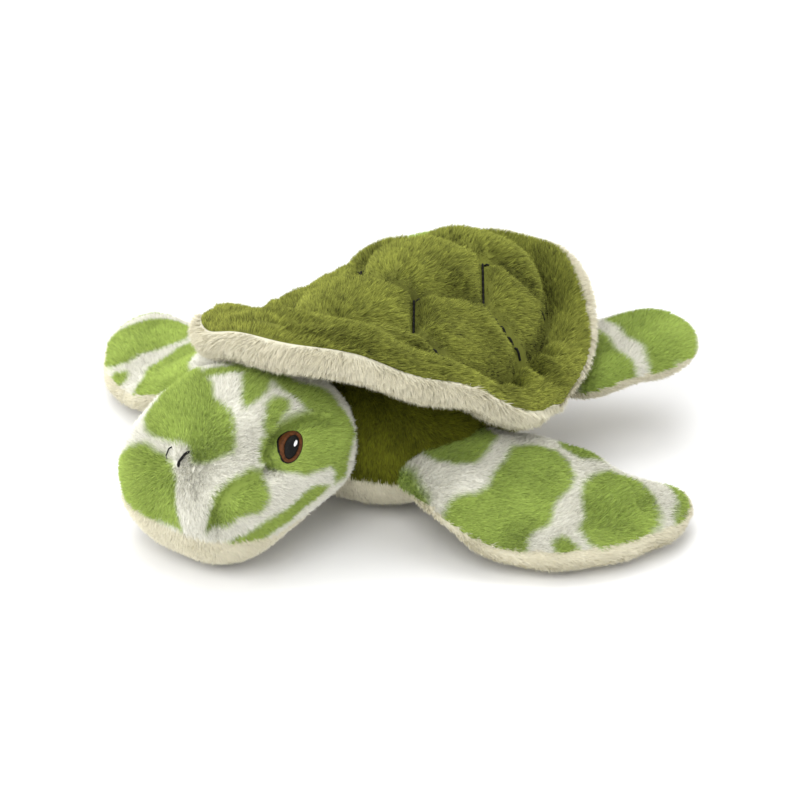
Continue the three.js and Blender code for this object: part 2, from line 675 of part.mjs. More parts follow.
// Where the root meets the body's side, with the direction straight out from it there.
function rootOnBody(back, height) {
  const share = bodyShare(height, 0);
  const halfWidth = BODY_HALF_WIDTH * share;
  const reach = (back < BODY_WIDEST_BACK ? BODY_HALF_HEIGHT : BODY_REAR_REACH) * share;
  const along = (back - BODY_WIDEST_BACK) / reach;
  const x = halfWidth * Math.sqrt(1 - along * along);
  const out = new THREE.Vector2(x / halfWidth ** 2, (back - BODY_WIDEST_BACK) / reach ** 2).normalize();
  const place = new THREE.Vector2(x, back);
  // the body's facets lie inside the true oval, so the root moves in to their outermost corner
  const corner = Math.max(...bodyRing(height, 0).map((p) => p.x * out.x + p.y * out.y));
  place.addScaledVector(out, corner - place.dot(out));
  return { place, out };
}

// Outlines of the blades, from the front of the root round the tip to its rear, as shares of the
// reach out from the hinge and of the trail behind it.
const FRONT_BLADE = [
  [0.14, -0.43], [0.53, -0.25], [0.86, 0.09], [1, 0.53], [1, 0.98], [0.84, 1.14], [0.5, 1.04], [0.13, 0.85],
];
const REAR_BLADE = [
  [0.21, -0.62], [0.58, -0.36], [0.95, 0.1], [0.98, 0.62], [0.7, 1], [0.22, 0.93],
];

function flipperOutline(size) {
  const { reach, trail, blade, rootWidth, thick, swing } = size;
  const points = [
    [-thick, -rootWidth / 2],
    ...blade.map(([out, back]) => [out * reach, back * trail]),
    [-thick, rootWidth / 2],
  ];
  const rim = points.map(([out, back]) => new THREE.Vector3(out, back, 0));
  // the root stays where it is sewn and the blade swings about it
  rim.slice(1, -1).forEach((p) => p.applyAxisAngle(UP, -swing));
  const edge = new THREE.CatmullRomCurve3(rim, false, 'centripetal');
  const root = new THREE.LineCurve3(rim.at(-1), rim[0]);
  return [
    ...edge.getSpacedPoints(FLIPPER_STEPS - ROOT_STEPS).slice(0, -1),
    ...root.getSpacedPoints(ROOT_STEPS).slice(0, -1),
  ];
}

// One flipper's three pieces, in the frame of its hinge: x out, y back, z up.
function flipperPieces(size) {
  const outline = flipperOutline(size);
  const ridge = new THREE.Line3(
    new THREE.Vector3(size.rootWidth / 3, size.rootWidth / 8, 0),
    new THREE.Vector3(size.reach * 0.62, size.trail * 0.55, 0).applyAxisAngle(UP, -size.swing),
  );
  const hub = ridge.getCenter(new THREE.Vector3());
  const floor = -size.rootHeight;
  // the seam runs level from the root, then down or up to the tip's height
  const seamAt = (p) => (size.tipHeight - size.rootHeight) * smooth(p.x / (size.reach * 0.6));
  const ringAt = (share, side, inset, gap) => outline.map((edge) => {
    const foot = ridge.closestPointToPoint(edge, true, new THREE.Vector3());
    const wide = edge.distanceTo(foot);
    const p = foot.clone().lerp(edge, share * (1 - inset / wide));
    const swell = (size.thick - inset) * Math.sqrt(1 - share ** 3);
    p.z = seamAt(p) + side * (swell + gap);
    p.z = Math.max(p.z, floor + inset);
    return p;
  });
  const pole = (side, inset, gap) => {
    const p = hub.clone();
    p.z = Math.max(seamAt(hub) + side * (size.thick - inset + gap), floor + inset);
    return [p];
  };
  const shares = [0.3, 0.6, 0.85, 1];
  const panel = (side) => {
    const gap = SEAM_GAP / 2;
    return solidFromRings([
      pole(side, 0, gap),
      ...shares.map((share) => ringAt(share, side, 0, gap)),
      ...shares.toReversed().map((share) => ringAt(share, side, CLOTH, gap)),
      pole(side, CLOTH, gap),
    ]);
  };
  const inset = CLOTH + SEAM_GAP;
  const filling = solidFromRings([
    pole(1, inset, 0),
    ...shares.map((share) => ringAt(share, 1, inset, 0)),
    ...shares.slice(0, -1).toReversed().map((share) => ringAt(share, -1, inset, 0)),
    pole(-1, inset, 0),
  ]);
  return { top: panel(1), sole: panel(-1), filling };
}

function mirrored(geometry) {
  return facingOut(geometry.clone().scale(1, -1, 1));
}

function addFlipper(name, side, back, size) {
  const root = rootOnBody(back, size.rootHeight);
  const hinge = root.place.clone().addScaledVector(root.out, size.thick + SEAM_GAP);
  const group = new THREE.Group();
  group.position.set(side * hinge.x, hinge.y, size.rootHeight);
  group.rotation.z = side > 0 ? root.out.angle() : Math.PI - root.out.angle();
  turtle.add(group);
  const pieces = flipperPieces(size);
  const handed = (geometry) => (side > 0 ? geometry : mirrored(geometry));
  addPiece(group, `${name}_top`, handed(pieces.top), PRINT);
  addPiece(group, `${name}_sole`, handed(pieces.sole), CREAM);
  addPiece(group, `${name}_filling`, handed(pieces.filling), STUFFING);
}

const frontSize = {
  reach: FRONT_REACH,
  trail: FRONT_TRAIL,
  blade: FRONT_BLADE,
  rootWidth: FRONT_ROOT_WIDTH,
  rootHeight: FRONT_ROOT_HEIGHT,
  tipHeight: FRONT_TIP_HEIGHT,
  thick: FRONT_HALF_THICK,
};
const rearSize = {
  reach: REAR_REACH,
  trail: REAR_TRAIL,
  blade: REAR_BLADE,
  rootWidth: REAR_ROOT_WIDTH,
  rootHeight: REAR_ROOT_HEIGHT,
  tipHeight: REAR_TIP_HEIGHT,
  thick: REAR_HALF_THICK,
};
addFlipper('front_left', 1, FRONT_ROOT_BACK, { ...frontSize, swing: FRONT_LEFT_SWING });
addFlipper('front_right', -1, FRONT_ROOT_BACK, { ...frontSize, swing: FRONT_RIGHT_SWING });
addFlipper('rear_left', 1, REAR_ROOT_BACK, { ...rearSize, swing: REAR_SWING });
addFlipper('rear_right', -1, REAR_ROOT_BACK, { ...rearSize, swing: REAR_SWING });

// The origin is on the floor under the widest place of the body, in the middle of the belly's rest.
turtle.position.set(0, -BODY_WIDEST_BACK, 0);

export default turtle;
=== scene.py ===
"""Looks of a stuffed sea turtle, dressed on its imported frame.

Every sewn panel is a padded skin with its own pile of strands. The eyes, the nostrils and the lines
between the scutes are thread. Sizes in the shape functions are millimetres in the frame of the part:
+Z up, the nose towards -Y, the turtle's left side at +X.
"""

import json
import math

import bmesh
import bpy
import numpy as np
from bpy.props import FloatProperty, FloatVectorProperty, PointerProperty
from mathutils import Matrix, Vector


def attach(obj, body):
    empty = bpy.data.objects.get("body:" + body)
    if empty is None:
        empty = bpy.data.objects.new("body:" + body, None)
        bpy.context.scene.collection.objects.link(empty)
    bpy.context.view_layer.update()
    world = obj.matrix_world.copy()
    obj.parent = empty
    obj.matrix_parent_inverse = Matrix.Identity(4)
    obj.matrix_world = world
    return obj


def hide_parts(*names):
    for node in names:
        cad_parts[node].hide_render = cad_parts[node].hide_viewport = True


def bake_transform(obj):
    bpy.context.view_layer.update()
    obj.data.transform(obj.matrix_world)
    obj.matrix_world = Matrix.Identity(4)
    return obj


bl_info = {
    "name": "Plush Sea Turtle",
    "version": (1, 0, 0),
    "blender": (4, 5, 0),
    "location": "3D View > Sidebar > Turtle",
    "description": "Dresses the packed frame of a stuffed sea turtle with padded skins, pile and thread",
    "category": "Object",
}

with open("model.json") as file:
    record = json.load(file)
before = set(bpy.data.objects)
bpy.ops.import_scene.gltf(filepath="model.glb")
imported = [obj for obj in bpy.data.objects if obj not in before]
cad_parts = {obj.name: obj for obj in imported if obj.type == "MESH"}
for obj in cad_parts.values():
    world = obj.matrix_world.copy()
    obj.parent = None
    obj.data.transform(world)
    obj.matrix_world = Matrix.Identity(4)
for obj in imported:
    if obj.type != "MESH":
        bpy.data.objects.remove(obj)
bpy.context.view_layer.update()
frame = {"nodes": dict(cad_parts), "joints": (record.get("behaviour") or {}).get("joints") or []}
JOINTS = {joint["child"]: joint for joint in frame["joints"]}
SIDES = {"left": 1, "right": -1}
MM = 0.001
CLOTH = 1.8
FLOOR_CLEAR = 0.3

# Pile: how far strands stand up, how they lean in tufts and over wider areas, and how they stray
STRAND_STAND = 0.58
TUFT_LEAN = 0.16
WIDE_LEAN = 0.17
STRAND_STRAY = 0.17
ROOT_SINK = 0.4
CLUMP_SIZE = np.array([2.2, 5, 2.2])
CREAM_LOOK = {"root_shade": 0.85, "tone": 0.06}
PRINT_LOOK = {"root_shade": 0.78, "tone": 0.09}

# Body
BODY_HALF_WIDTH = 62
BODY_HALF_HEIGHT = 36
BODY_MID_HEIGHT = 33
BODY_REAR_REACH = 112
BELLY_SEAM_HEIGHT = 25
NECK_GAP = 0.6

# Head
HEAD_HALF_WIDTH = 40
HEAD_FRONT_REACH = 42
HEAD_REAR_REACH = 50
HEAD_HALF_HEIGHT = 38
HEAD_MIDDLE = np.array([0, -68, 35.5])
HEAD_PLAN_POWER = 2.9
HEAD_SIDE_POWER = 2.3
HEAD_NOSE_DROP = 0.14
HEAD_LEAN = 0.09
HEAD_REAR_LIFT = 13
CHIN_SEAM_HEIGHT = 20
CHIN_SEAM_RISE = 0.12
BROW_DEPTH = 6
CHEEK_DEPTH = 4.4
# Height, middle and radius of the soft bumps and dents on both sides of the head
HEAD_SWELLS = [
    (2, (27, -68, 69), 9), (1.6, (38, -78, 42), 15), (2.4, (20, -102, 42), 13),
    (-1.6, (4, -104, 52), 6), (-1.3, (16, -54, 70), 13),
]

# Left eye: its middle, and the directions of its oval's axes on the cheek
EYE_MIDDLE = np.array([35.2, -70.7, 55.9])
EYE_LONG_AXIS = np.array([-0.245, 0.776, 0.581])
EYE_SHORT_AXIS = np.array([0.398, 0.737, -0.545])
EYE_LENGTH = 14
EYE_WIDTH = 9
EYE_RAISE = 0.9
EYE_RIM = 0.3
IRIS_BAND = 1.6
GLINT_LENGTH = 3.6
GLINT_WIDTH = 1.7
GLINT_SHIFT = (1.8, 0.4)

# Shell, whose own middle lies behind the origin. A turn is an angle from its front to its left side.
SHELL_MIDDLE = 30
SHELL_HALF_WIDTH = 80
SHELL_HALF_LENGTH = 92
SHELL_TOP = 88
SHELL_CROWN_LEAN = 0.15
SHELL_SEAT = 69.7
BRIM_FRONT_HEIGHT = 83.5
BRIM_LOW_HEIGHT = 44
BRIM_LOW_TURN = 1.85
BRIM_REAR_HEIGHT = 65
BRIM_RISE_POWER = 1.15
BRIM_LEFT_LIFT = 17
BRIM_LEFT_SAG = 6
BRIM_RIGHT_SAG = 10.5
BRIM_RIGHT_SAG_TURN = -1.35
BRIM_REAR_LIFT = 7
BRIM_REAR_LIFT_TURN = 2.8
BRIM_CORNER_LIFT = 6
BRIM_CORNER_TURN = 1.92
BRIM_FOLD_DEPTH = 4.5
BRIM_FOLD_TURN = 1.8
BRIM_FOLDS_PER_ROUND = 34
DOME_RIGHT_SAG = 8
BRIM_WIDTH = 20
BRIM_FRONT_WIDENING = 12
BRIM_SIDE_SLOPE = 4
BRIM_FRONT_SLOPE = 0
BRIM_REAR_SLOPE = -4
BRIM_EDGE_HEIGHT = 12.5
BRIM_FRONT_THICKENING = 2.5
BRIM_EDGE_ROUND = 8
BRIM_ROLL_START = 0.9999  # just inside 1, so that all of the ring at 1 is rolled
BRIM_SEAM_ANGLE = 0.9
BRIM_SEAM_DROP = 1.3
BRIM_SEAM_DROP_TURN = 1.87
BRIM_CURL = 0.65
BRIM_CURL_TURN = 2.65
DOME_POWER = 0.65
LINING_POWER = 0.8
LINING_CLEAR = 0.7
QUILT_DEPTH = 6.5
QUILT_WIDTH = 3.2
DOME_FOOT_WIDTH = 4.2
SCUTE_BULGE = 2.2
LEAST_WADDING = 3.2
STITCH_STEP = 4.2
STITCH_LIFT = (1, 2.2, 2.2, 1)
NARROW_SEAMS = [(16, -50), (16, -6), (16, 38)]
WIDE_SEAMS = [(36, -28), (36, 16)]

# Flippers, in the frame of their hinge: out from the body and back towards the tail
FLIPPER_SIZES = {
    "front": {"reach": 68, "root": 27, "tip": 14.5, "thick": 9, "tuck": 10, "corner": (46, 72), "stretch": 7,
              "nap": (0.75, 0.66), "swing": {"left": 0, "right": 0.5}},
    "rear": {"reach": 57, "root": 34, "tip": 40, "thick": 8, "tuck": 3, "corner": (54, 30), "stretch": 0,
             "nap": (0.85, 0.5), "swing": {"left": 0, "right": 0}},
}
FLIPPER_PUFF = 2.7
FLIPPER_VOXEL = 1.6

# Printed spots of the flippers, in the same frame
FLIPPER_SPOTS = {
    "front": [
        [(-20, -8), (-11, -14), (-4, -14), (3, -10), (5, -2), (3, 8), (-3, 19), (-14, 20), (-22, 5)],
        [(-24, -16), (-16, -20), (-8, -20), (-3, -22), (4, -25), (5, -30), (-6, -36), (-24, -36)],
        [(13, -28), (20, -27), (31, -19), (43, -8), (39, 6), (33, 22), (25, 37), (19, 40), (11, 39), (6, 31),
         (5, 20), (10, 10), (14, -3), (15, -12), (13, -20)],
        [(47, 21), (37, 28), (29, 38), (27, 45), (29, 54), (39, 60), (52, 56), (62, 50), (67, 46), (68, 32),
         (64, 18), (58, 12), (50, 14)],
        [(11, 42), (20, 46), (23, 57), (9, 57), (2, 49)],
        [(30, 70), (43, 70), (53, 66), (61, 59), (68, 55), (74, 66), (57, 94), (34, 86)],
        [(47, 1), (50, 7), (56, 9), (57, 5), (52, 0)],
    ],
    "rear": [
        [(15, 29), (22, 36), (38, 38), (51, 29), (57, 14), (54, 3), (45, -9), (39, -12), (33, -5), (24, 9),
         (15, 22)],
        [(12, 13), (26, -11), (33, -21), (24, -28), (8, -24), (2, -14), (2, 8)],
        [(-6, 10), (2, 17), (6, 30), (-4, 30)],
    ],
}

# Printed spots of the head, on a map of degrees from its top: to the left side and to the nose
CROWN_SPOT = [
    (-43, 6), (-34, -6), (-14, 8), (8, 19), (26, 23), (41, 33), (43, 38), (32, 50), (20, 56), (-5, 56),
    (-27, 51), (-37, 41), (-37, 28), (-44, 14),
]
FACE_SPOTS = [
    [(61, 27), (53, 36), (47, 61), (53, 84), (66, 66), (75, 46), (72, 35)],
    [(68, 82), (84, 76), (97, 50), (103, 17), (99, -14), (90, -27), (87, -10), (88, 15), (88, 36), (80, 60)],
    [(-10, -16), (4, -22), (16, -12), (25, 4), (26, 15), (18, 10), (6, 2)],
    [(12, -10), (6, -20), (23, -27), (41, -38), (58, -50), (62, -44), (53, -27), (42, -12), (34, -14)],
    [(38, 12), (31, 4), (31, -3), (35, -7), (40, -3), (45, 8), (48, 18)],
    [(46, 21), (43, 8), (42, -5), (42, -28), (56, -42), (84, -50), (88, -36), (79, -20), (77, 5), (66, 20),
     (54, 28)],
]
RIGHT_MUZZLE_SPOT = [
    (-35, 58), (-52, 66), (-57, 73), (-54, 90), (-52, 101), (-5, 107), (30, 97), (23, 82), (15, 72), (5, 65),
    (-10, 63),
]

# Sewn lines of the face, for the left side
BROW_LINE = [
    (36, -82, 51), (33, -82, 56), (31, -77, 60), (30, -69, 63), (30, -63, 63), (30, -55, 62), (31, -47, 60),
]
CHEEK_LINE = [(36, -82, 51), (33, -91, 49), (29, -99, 46), (27, -104, 38), (26, -105, 29)]
NOSE = np.array([4, -106, 53])
NOSTRIL_STITCHES = [
    ((6, -104.4, 50.1), (8.5, -99.4, 56.1), 1.2),
    ((-0.3, -104.2, 50.7), (-0.7, -100.5, 55.1), 0.6),
]

# Stage, in metres: what the camera and the lights look at, and each light's place, size and watts
CAMERA_AIM = (0, 0.03, 0.05)
CAMERA_SHIFT = (0.005, -0.0625)
LIGHT_AIM = (0, 0.02, 0.04)
LIGHTS = (
    ("key", (0.5, -1.1, 1.5), 1.2, 15),
    ("top", (-0.3, 0.3, 1.7), 1.6, 16),
    ("fill", (1.4, 0.2, 0.7), 1.0, 4),
    ("front", (-1.2, -1.3, 0.6), 1.2, 18),
)


def length_setting(label, description, default):
    return FloatProperty(
        name=label, description=description, default=default, min=0.001, max=0.012, unit="LENGTH")


def colour_setting(label, description, default):
    return FloatVectorProperty(
        name=label, description=description, default=default, subtype="COLOR", min=0, max=1)


class PileSettings(bpy.types.PropertyGroup):
    """Length, thickness and closeness of the strands."""

    shell_length: length_setting("Shell pile", "Length of the shell's strands", 0.0042)
    lining_length: length_setting("Lining pile", "Length of the strands under the brim", 0.0045)
    body_length: length_setting("Body pile", "Length of the strands on the body", 0.0036)
    print_length: length_setting("Printed pile", "Length of the strands of the spotted cloth", 0.003)
    strand_width: FloatProperty(
        name="Strand width", description="Width of a strand at its root",
        default=0.00042, min=0.0001, max=0.002, unit="LENGTH")
    closeness: FloatProperty(
        name="Closeness", description="Strands on each square millimetre",
        default=8.5, min=0.1, max=20)


class ColourSettings(bpy.types.PropertyGroup):
    """Colours of the cloth and of the thread."""

    olive: colour_setting("Shell", "Tips of the shell's pile", (0.262, 0.284, 0.047))
    dark_olive: colour_setting("Body", "Tips of the body's pile", (0.145, 0.155, 0.008))
    cream: colour_setting("Cream", "Tips of the cream pile", (0.79, 0.75, 0.59))
    print_white: colour_setting("Print white", "Ground of the spotted cloth", (0.83, 0.82, 0.73))
    print_green: colour_setting("Print green", "Spots of the spotted cloth", (0.35, 0.46, 0.095))
    brown_thread: colour_setting("Iris", "Brown thread of the eyes", (0.105, 0.036, 0.01))
    black_thread: colour_setting("Pupil", "Black thread of the eyes and stitches", (0.006, 0.006, 0.005))
    white_thread: colour_setting("Glint", "White thread of the eyes", (0.9, 0.9, 0.88))


class StageSettings(bpy.types.PropertyGroup):
    """Camera, floor and light."""

    azimuth: FloatProperty(
        name="Azimuth", description="Camera's turn from the nose to the left side",
        default=math.radians(43), subtype="ANGLE")
    elevation: FloatProperty(
        name="Elevation", description="Camera's height above the horizon",
        default=math.radians(27), subtype="ANGLE")
    distance: FloatProperty(
        name="Distance", description="Camera to the middle of the toy",
        default=1.1, min=0.2, unit="LENGTH")
    lens: FloatProperty(
        name="Lens", description="Focal length in millimetres",
        default=113.85, min=10)
    floor: colour_setting("Floor", "Colour of the floor", (0.9, 0.9, 0.9))


# Shapes


def reshape(bm, move):
    """Puts every vertex where one function of all their places says."""
    places = np.array([vert.co for vert in bm.verts])
    for vert, place in zip(bm.verts, move(places)):
        vert.co = place


def smooth_step(share):
    share = np.clip(share, 0, 1)
    return share * share * (3 - 2 * share)


def hump(away, width):
    """1 at no distance, and less further away."""
    return np.exp(-((away / width) ** 2))


def to_left(points):
    """Points with those of the right side mirrored to the left."""
    return np.column_stack([np.abs(points[:, 0]), points[:, 1:]])


def above_floor(height, low=FLOOR_CLEAR, ease=1.5):
    """Heights pressed flat on the floor, with a soft turn up from it."""
    return low + ease * np.logaddexp(0, (height - low) / ease)


def ripple(points, size, seed):
    """A smooth random value from about -1 to 1 at each point, in waves of about a size."""
    rng = np.random.default_rng(seed)
    waves = rng.normal(size=(8, 3))
    waves *= 2 * math.pi / (size * rng.uniform(0.7, 1.6, (8, 1)) * np.linalg.norm(waves, axis=1)[:, None])
    return np.sin(points @ waves.T + rng.uniform(0, 2 * math.pi, 8)).sum(1) / 3


def distance_to_lines(points, lines):
    """Distance from each point to the nearest of several lines of points."""
    nearest = np.full(len(points), np.inf)
    for line in lines:
        line = np.array(line, float)
        for start, end in zip(line[:-1], line[1:]):
            along = end - start
            share = np.clip((points - start) @ along / (along @ along), 0, 1)
            nearest = np.minimum(nearest, np.linalg.norm(points - start - share[:, None] * along, axis=1))
    return nearest


def depth_in_spot(points, outline):
    """How deep each point of a plane lies inside an outline, negative outside it."""
    ring = [*outline, outline[0]]
    inside = np.zeros(len(points), bool)
    for (x0, y0), (x1, y1) in zip(ring[:-1], ring[1:]):
        if y0 == y1:
            continue
        spans = (points[:, 1] < y0) != (points[:, 1] < y1)
        inside ^= spans & (points[:, 0] < x0 + (points[:, 1] - y0) * (x1 - x0) / (y1 - y0))
    return np.where(inside, 1, -1) * distance_to_lines(points, [ring])


def spot_share(points, outlines, edge, seed):
    """1 inside any of several printed spots and 0 outside, over an edge of a width."""
    depth = np.max([depth_in_spot(points, outline) for outline in outlines], axis=0)
    flat = np.column_stack([points, np.zeros(len(points))])
    return smooth_step(0.5 + (depth + 0.35 * edge * ripple(flat, 5 * edge, seed)) / edge)


def body_surface(unit):
    """The body, from points of a unit ball."""
    x, y, z = unit.T
    reach = np.where(y < 0, BODY_HALF_HEIGHT, BODY_REAR_REACH)
    height = BODY_MID_HEIGHT + BODY_HALF_HEIGHT * z
    return np.column_stack([BODY_HALF_WIDTH * x, reach * y, above_floor(height)])


def head_block(unit):
    """The head without its features, from points of a unit ball."""
    x, y, z = unit.T
    plan = (np.abs(x) ** HEAD_PLAN_POWER + np.abs(y) ** HEAD_PLAN_POWER) ** (1 / HEAD_PLAN_POWER)
    size = (plan**HEAD_SIDE_POWER + np.abs(z) ** HEAD_SIDE_POWER) ** (-1 / HEAD_SIDE_POWER)
    ahead = y * size * np.where(y < 0, HEAD_FRONT_REACH, HEAD_REAR_REACH)
    height = HEAD_MIDDLE[2] + HEAD_HALF_HEIGHT * z * size
    height = height * (1 - HEAD_NOSE_DROP * np.maximum(0, -ahead / HEAD_FRONT_REACH))
    return np.column_stack([HEAD_HALF_WIDTH * x * size, HEAD_MIDDLE[1] + ahead, above_floor(height)])


def head_surface(unit):
    """The head with its sewn lines, brows, cheeks and muzzle."""
    places = head_block(unit)
    out = places - HEAD_MIDDLE
    out /= np.linalg.norm(out, axis=1)[:, None]
    mirrored = to_left(places)
    brow = distance_to_lines(mirrored, [BROW_LINE])
    cheek = distance_to_lines(places, [CHEEK_LINE])
    move = -BROW_DEPTH * hump(brow, 2.6) - CHEEK_DEPTH * hump(cheek, 2.8)
    for height, middle, radius in HEAD_SWELLS:
        move += height * hump(np.linalg.norm(mirrored - np.array(middle, float), axis=1), radius)
    move += 0.5 * ripple(places, 24, 11)
    places = places + out * move[:, None]
    x, y, z = places.T
    lifted = z + HEAD_REAR_LIFT * smooth_step((y + 92) / 50) * np.clip(1 - z / 40, 0, 1)
    leant = x + HEAD_LEAN * (z - HEAD_MIDDLE[2])
    return np.column_stack([leant, y, np.maximum(lifted, FLOOR_CLEAR)])


def head_map(points):
    """Degrees from the top of the head: to its left side, and to the nose."""
    x, y, z = (points - HEAD_MIDDLE).T
    x, z = x / HEAD_HALF_WIDTH, z / HEAD_HALF_HEIGHT
    y = y / np.where(y < 0, HEAD_FRONT_REACH, HEAD_REAR_REACH)
    fall = np.degrees(np.arccos(z / np.linalg.norm([x, y, z], axis=0)))
    wide = np.maximum(np.hypot(x, y), 1e-6)
    return np.column_stack([fall * x / wide, -fall * y / wide])


def head_print(points):
    """Share of green in the print of the head."""
    places = head_map(points)
    mirrored = places * (-1, 1)
    left = spot_share(places, [CROWN_SPOT, RIGHT_MUZZLE_SPOT, *FACE_SPOTS], 5, 3)
    right = spot_share(mirrored, FACE_SPOTS[1:], 5, 4)
    return np.maximum(left, right)


def shell_radius(turn):
    return 1 / np.hypot(np.sin(turn) / SHELL_HALF_WIDTH, np.cos(turn) / SHELL_HALF_LENGTH)


def dome_foot(turn):
    """How far out the dome reaches. The flat brim beyond it is wider over the head."""
    return shell_radius(turn) - BRIM_WIDTH - BRIM_FRONT_WIDENING * np.maximum(0, np.cos(turn)) ** 2


def brim_seam(turn):
    """Place of the lining's seam on the rolled edge, which lies lower where the brim folds at the sides."""
    past = np.abs(turn) - BRIM_SEAM_DROP_TURN
    drop = BRIM_SEAM_DROP * hump(past, np.where(past < 0, 0.33, 0.5))
    curl = BRIM_CURL * hump(np.abs(turn) - BRIM_CURL_TURN, 0.4)
    return 1.5 - (BRIM_SEAM_ANGLE - drop + curl) / math.pi


def edge_half(turn):
    """Half of the height of the rolled edge, which is fullest over the head."""
    return (BRIM_EDGE_HEIGHT + BRIM_FRONT_THICKENING * hump(turn - 0.2, 0.5)) / 2


def brim_sag(turn):
    """How far the soft brim hangs at both sides. It stands up behind the low place on the left."""
    left = BRIM_LEFT_SAG * smooth_step((turn - 0.55) / 0.45) * (1 - smooth_step((turn - 1.42) / 0.33))
    left = left - BRIM_CORNER_LIFT * hump(turn - BRIM_CORNER_TURN, 0.17)
    right = BRIM_RIGHT_SAG * hump(turn - BRIM_RIGHT_SAG_TURN, 0.45)
    from_rear = (turn - BRIM_REAR_LIFT_TURN + math.pi) % (2 * math.pi) - math.pi
    return left + right - BRIM_REAR_LIFT * hump(from_rear, 0.35)


def brim_folds(turn):
    """The soft folds where the brim is gathered at its lowest places: 1 on a fold, -1 between two."""
    folded = hump(np.abs(turn) - BRIM_FOLD_TURN, 0.24)
    return folded * np.cos(BRIM_FOLDS_PER_ROUND * (np.abs(turn) - 1.7))


def brim_wave(turn):
    """How far the soft edge of the brim waves up and down."""
    return 1.1 * np.sin(6 * turn + 1) + 0.8 * np.sin(11 * turn + 2.3) + 0.7 * brim_folds(turn)


def brim_height(turn):
    away = np.abs(turn)
    ahead = away < BRIM_LOW_TURN
    share = np.where(ahead, 1 - away / BRIM_LOW_TURN, (away - BRIM_LOW_TURN) / (math.pi - BRIM_LOW_TURN))
    rise = np.sin(math.pi / 2 * np.clip(share, 0, 1) ** BRIM_RISE_POWER)
    end = np.where(ahead, BRIM_FRONT_HEIGHT, BRIM_REAR_HEIGHT)
    lift = BRIM_LEFT_LIFT * np.sin(turn) * np.maximum(0, np.cos(turn))
    return BRIM_LOW_HEIGHT + (end - BRIM_LOW_HEIGHT) * rise + lift - brim_sag(turn) + brim_wave(turn)


def brim_drop(turn, radius):
    """Drop of the brim from the foot of the dome to its edge: how much of it a place is above the edge."""
    ahead = np.cos(turn)
    end = np.where(ahead > 0, BRIM_FRONT_SLOPE, BRIM_REAR_SLOPE)
    drop = BRIM_SIDE_SLOPE + (end - BRIM_SIDE_SLOPE) * ahead**2
    foot, edge = dome_foot(turn), shell_radius(turn) - BRIM_EDGE_ROUND
    share = np.clip((edge - radius) / (edge - foot), 0, 1)
    return drop * np.where(radius < foot, (radius / foot) ** 2, share)


def shell_top_at(turn, radius):
    """Height of the shell's upper face without its quilting."""
    foot = dome_foot(turn)
    edge_height = brim_height(turn) + edge_half(turn)
    foot_height = edge_height + brim_drop(turn, foot)
    crown = SHELL_TOP - SHELL_CROWN_LEAN * radius * np.cos(turn)
    rise = np.maximum(0, 1 - (radius / foot) ** 2) ** DOME_POWER
    dome = foot_height + (crown - foot_height) * rise
    x, y = radius * np.sin(turn), SHELL_MIDDLE - radius * np.cos(turn)
    slack = smooth_step((-x - 2) / 35) * hump(y - 22, 34) * np.clip((foot - radius) / 14, 0, 1)
    dome = dome - DOME_RIGHT_SAG * slack
    return np.where(radius >= foot, edge_height + brim_drop(turn, radius), dome)


def body_top_at(x, y):
    reach = np.where(y < 0, BODY_HALF_HEIGHT, BODY_REAR_REACH)
    left = 1 - (x / BODY_HALF_WIDTH) ** 2 - (y / reach) ** 2
    return np.where(left > 0, BODY_MID_HEIGHT + BODY_HALF_HEIGHT * np.sqrt(np.maximum(left, 0)), 0)


def shell_under_at(turn, radius):
    """Height of the lining: a dish that rests on the body and meets the brim's edge."""
    edge = shell_radius(turn) - BRIM_EDGE_ROUND
    rim = brim_height(turn) - edge_half(turn)
    dish = SHELL_SEAT + (rim - SHELL_SEAT) * np.minimum(1, radius / edge) ** LINING_POWER
    dish = dish + np.minimum(0, brim_drop(turn, radius))
    x, y = radius * np.sin(turn), SHELL_MIDDLE - radius * np.cos(turn)
    return np.maximum(dish, body_top_at(x, y) + LINING_CLEAR)


def scute_lines():
    """The sewn lines between the scutes, in plan, round the middle of the shell."""
    lines = []
    for side in (1, -1):
        narrow = [np.array([side * x, y]) for x, y in NARROW_SEAMS]
        wide = [np.array([side * x, y]) for x, y in WIDE_SEAMS]
        lines.append([narrow[0], wide[0], narrow[1], wide[1], narrow[2]])
        for start, fan in ((narrow[0], 2.2), (wide[0], 1.6), (wide[1], 1.6), (narrow[2], 2.2)):
            turn = math.atan2(start[0] * fan, -start[1])
            foot = float(dome_foot(np.array(turn)))
            lines.append([start, np.array([foot * math.sin(turn), -foot * math.cos(turn)])])
    for x, y in NARROW_SEAMS:
        lines.append([np.array([-x, y]), np.array([x, y])])
    return lines


SCUTE_LINES = scute_lines()


def seam_distance(turn, radius):
    """Distance in plan from the nearest sewn line of the dome, and from the dome's foot."""
    plan = np.column_stack([radius * np.sin(turn), -radius * np.cos(turn)])
    foot = radius - dome_foot(turn)
    lines = np.where(foot < 0, distance_to_lines(plan, SCUTE_LINES), 50)
    return lines, np.abs(foot)


def quilting(turn, radius):
    """How far the upper face is drawn down by its sewn lines."""
    lines, foot = seam_distance(turn, radius)
    drawn = QUILT_DEPTH * np.exp(-((lines / QUILT_WIDTH) ** 1.2))
    drawn = np.maximum(drawn, 0.9 * QUILT_DEPTH * np.exp(-((foot / DOME_FOOT_WIDTH) ** 1.3)))
    to_edge = shell_radius(turn) - BRIM_EDGE_ROUND - radius
    on_brim = smooth_step(to_edge / 7) * smooth_step((radius - dome_foot(turn) + 8) / 8)
    drawn = drawn - BRIM_FOLD_DEPTH * brim_folds(turn) * on_brim
    return drawn - SCUTE_BULGE * smooth_step(np.minimum(lines, foot) / 14)


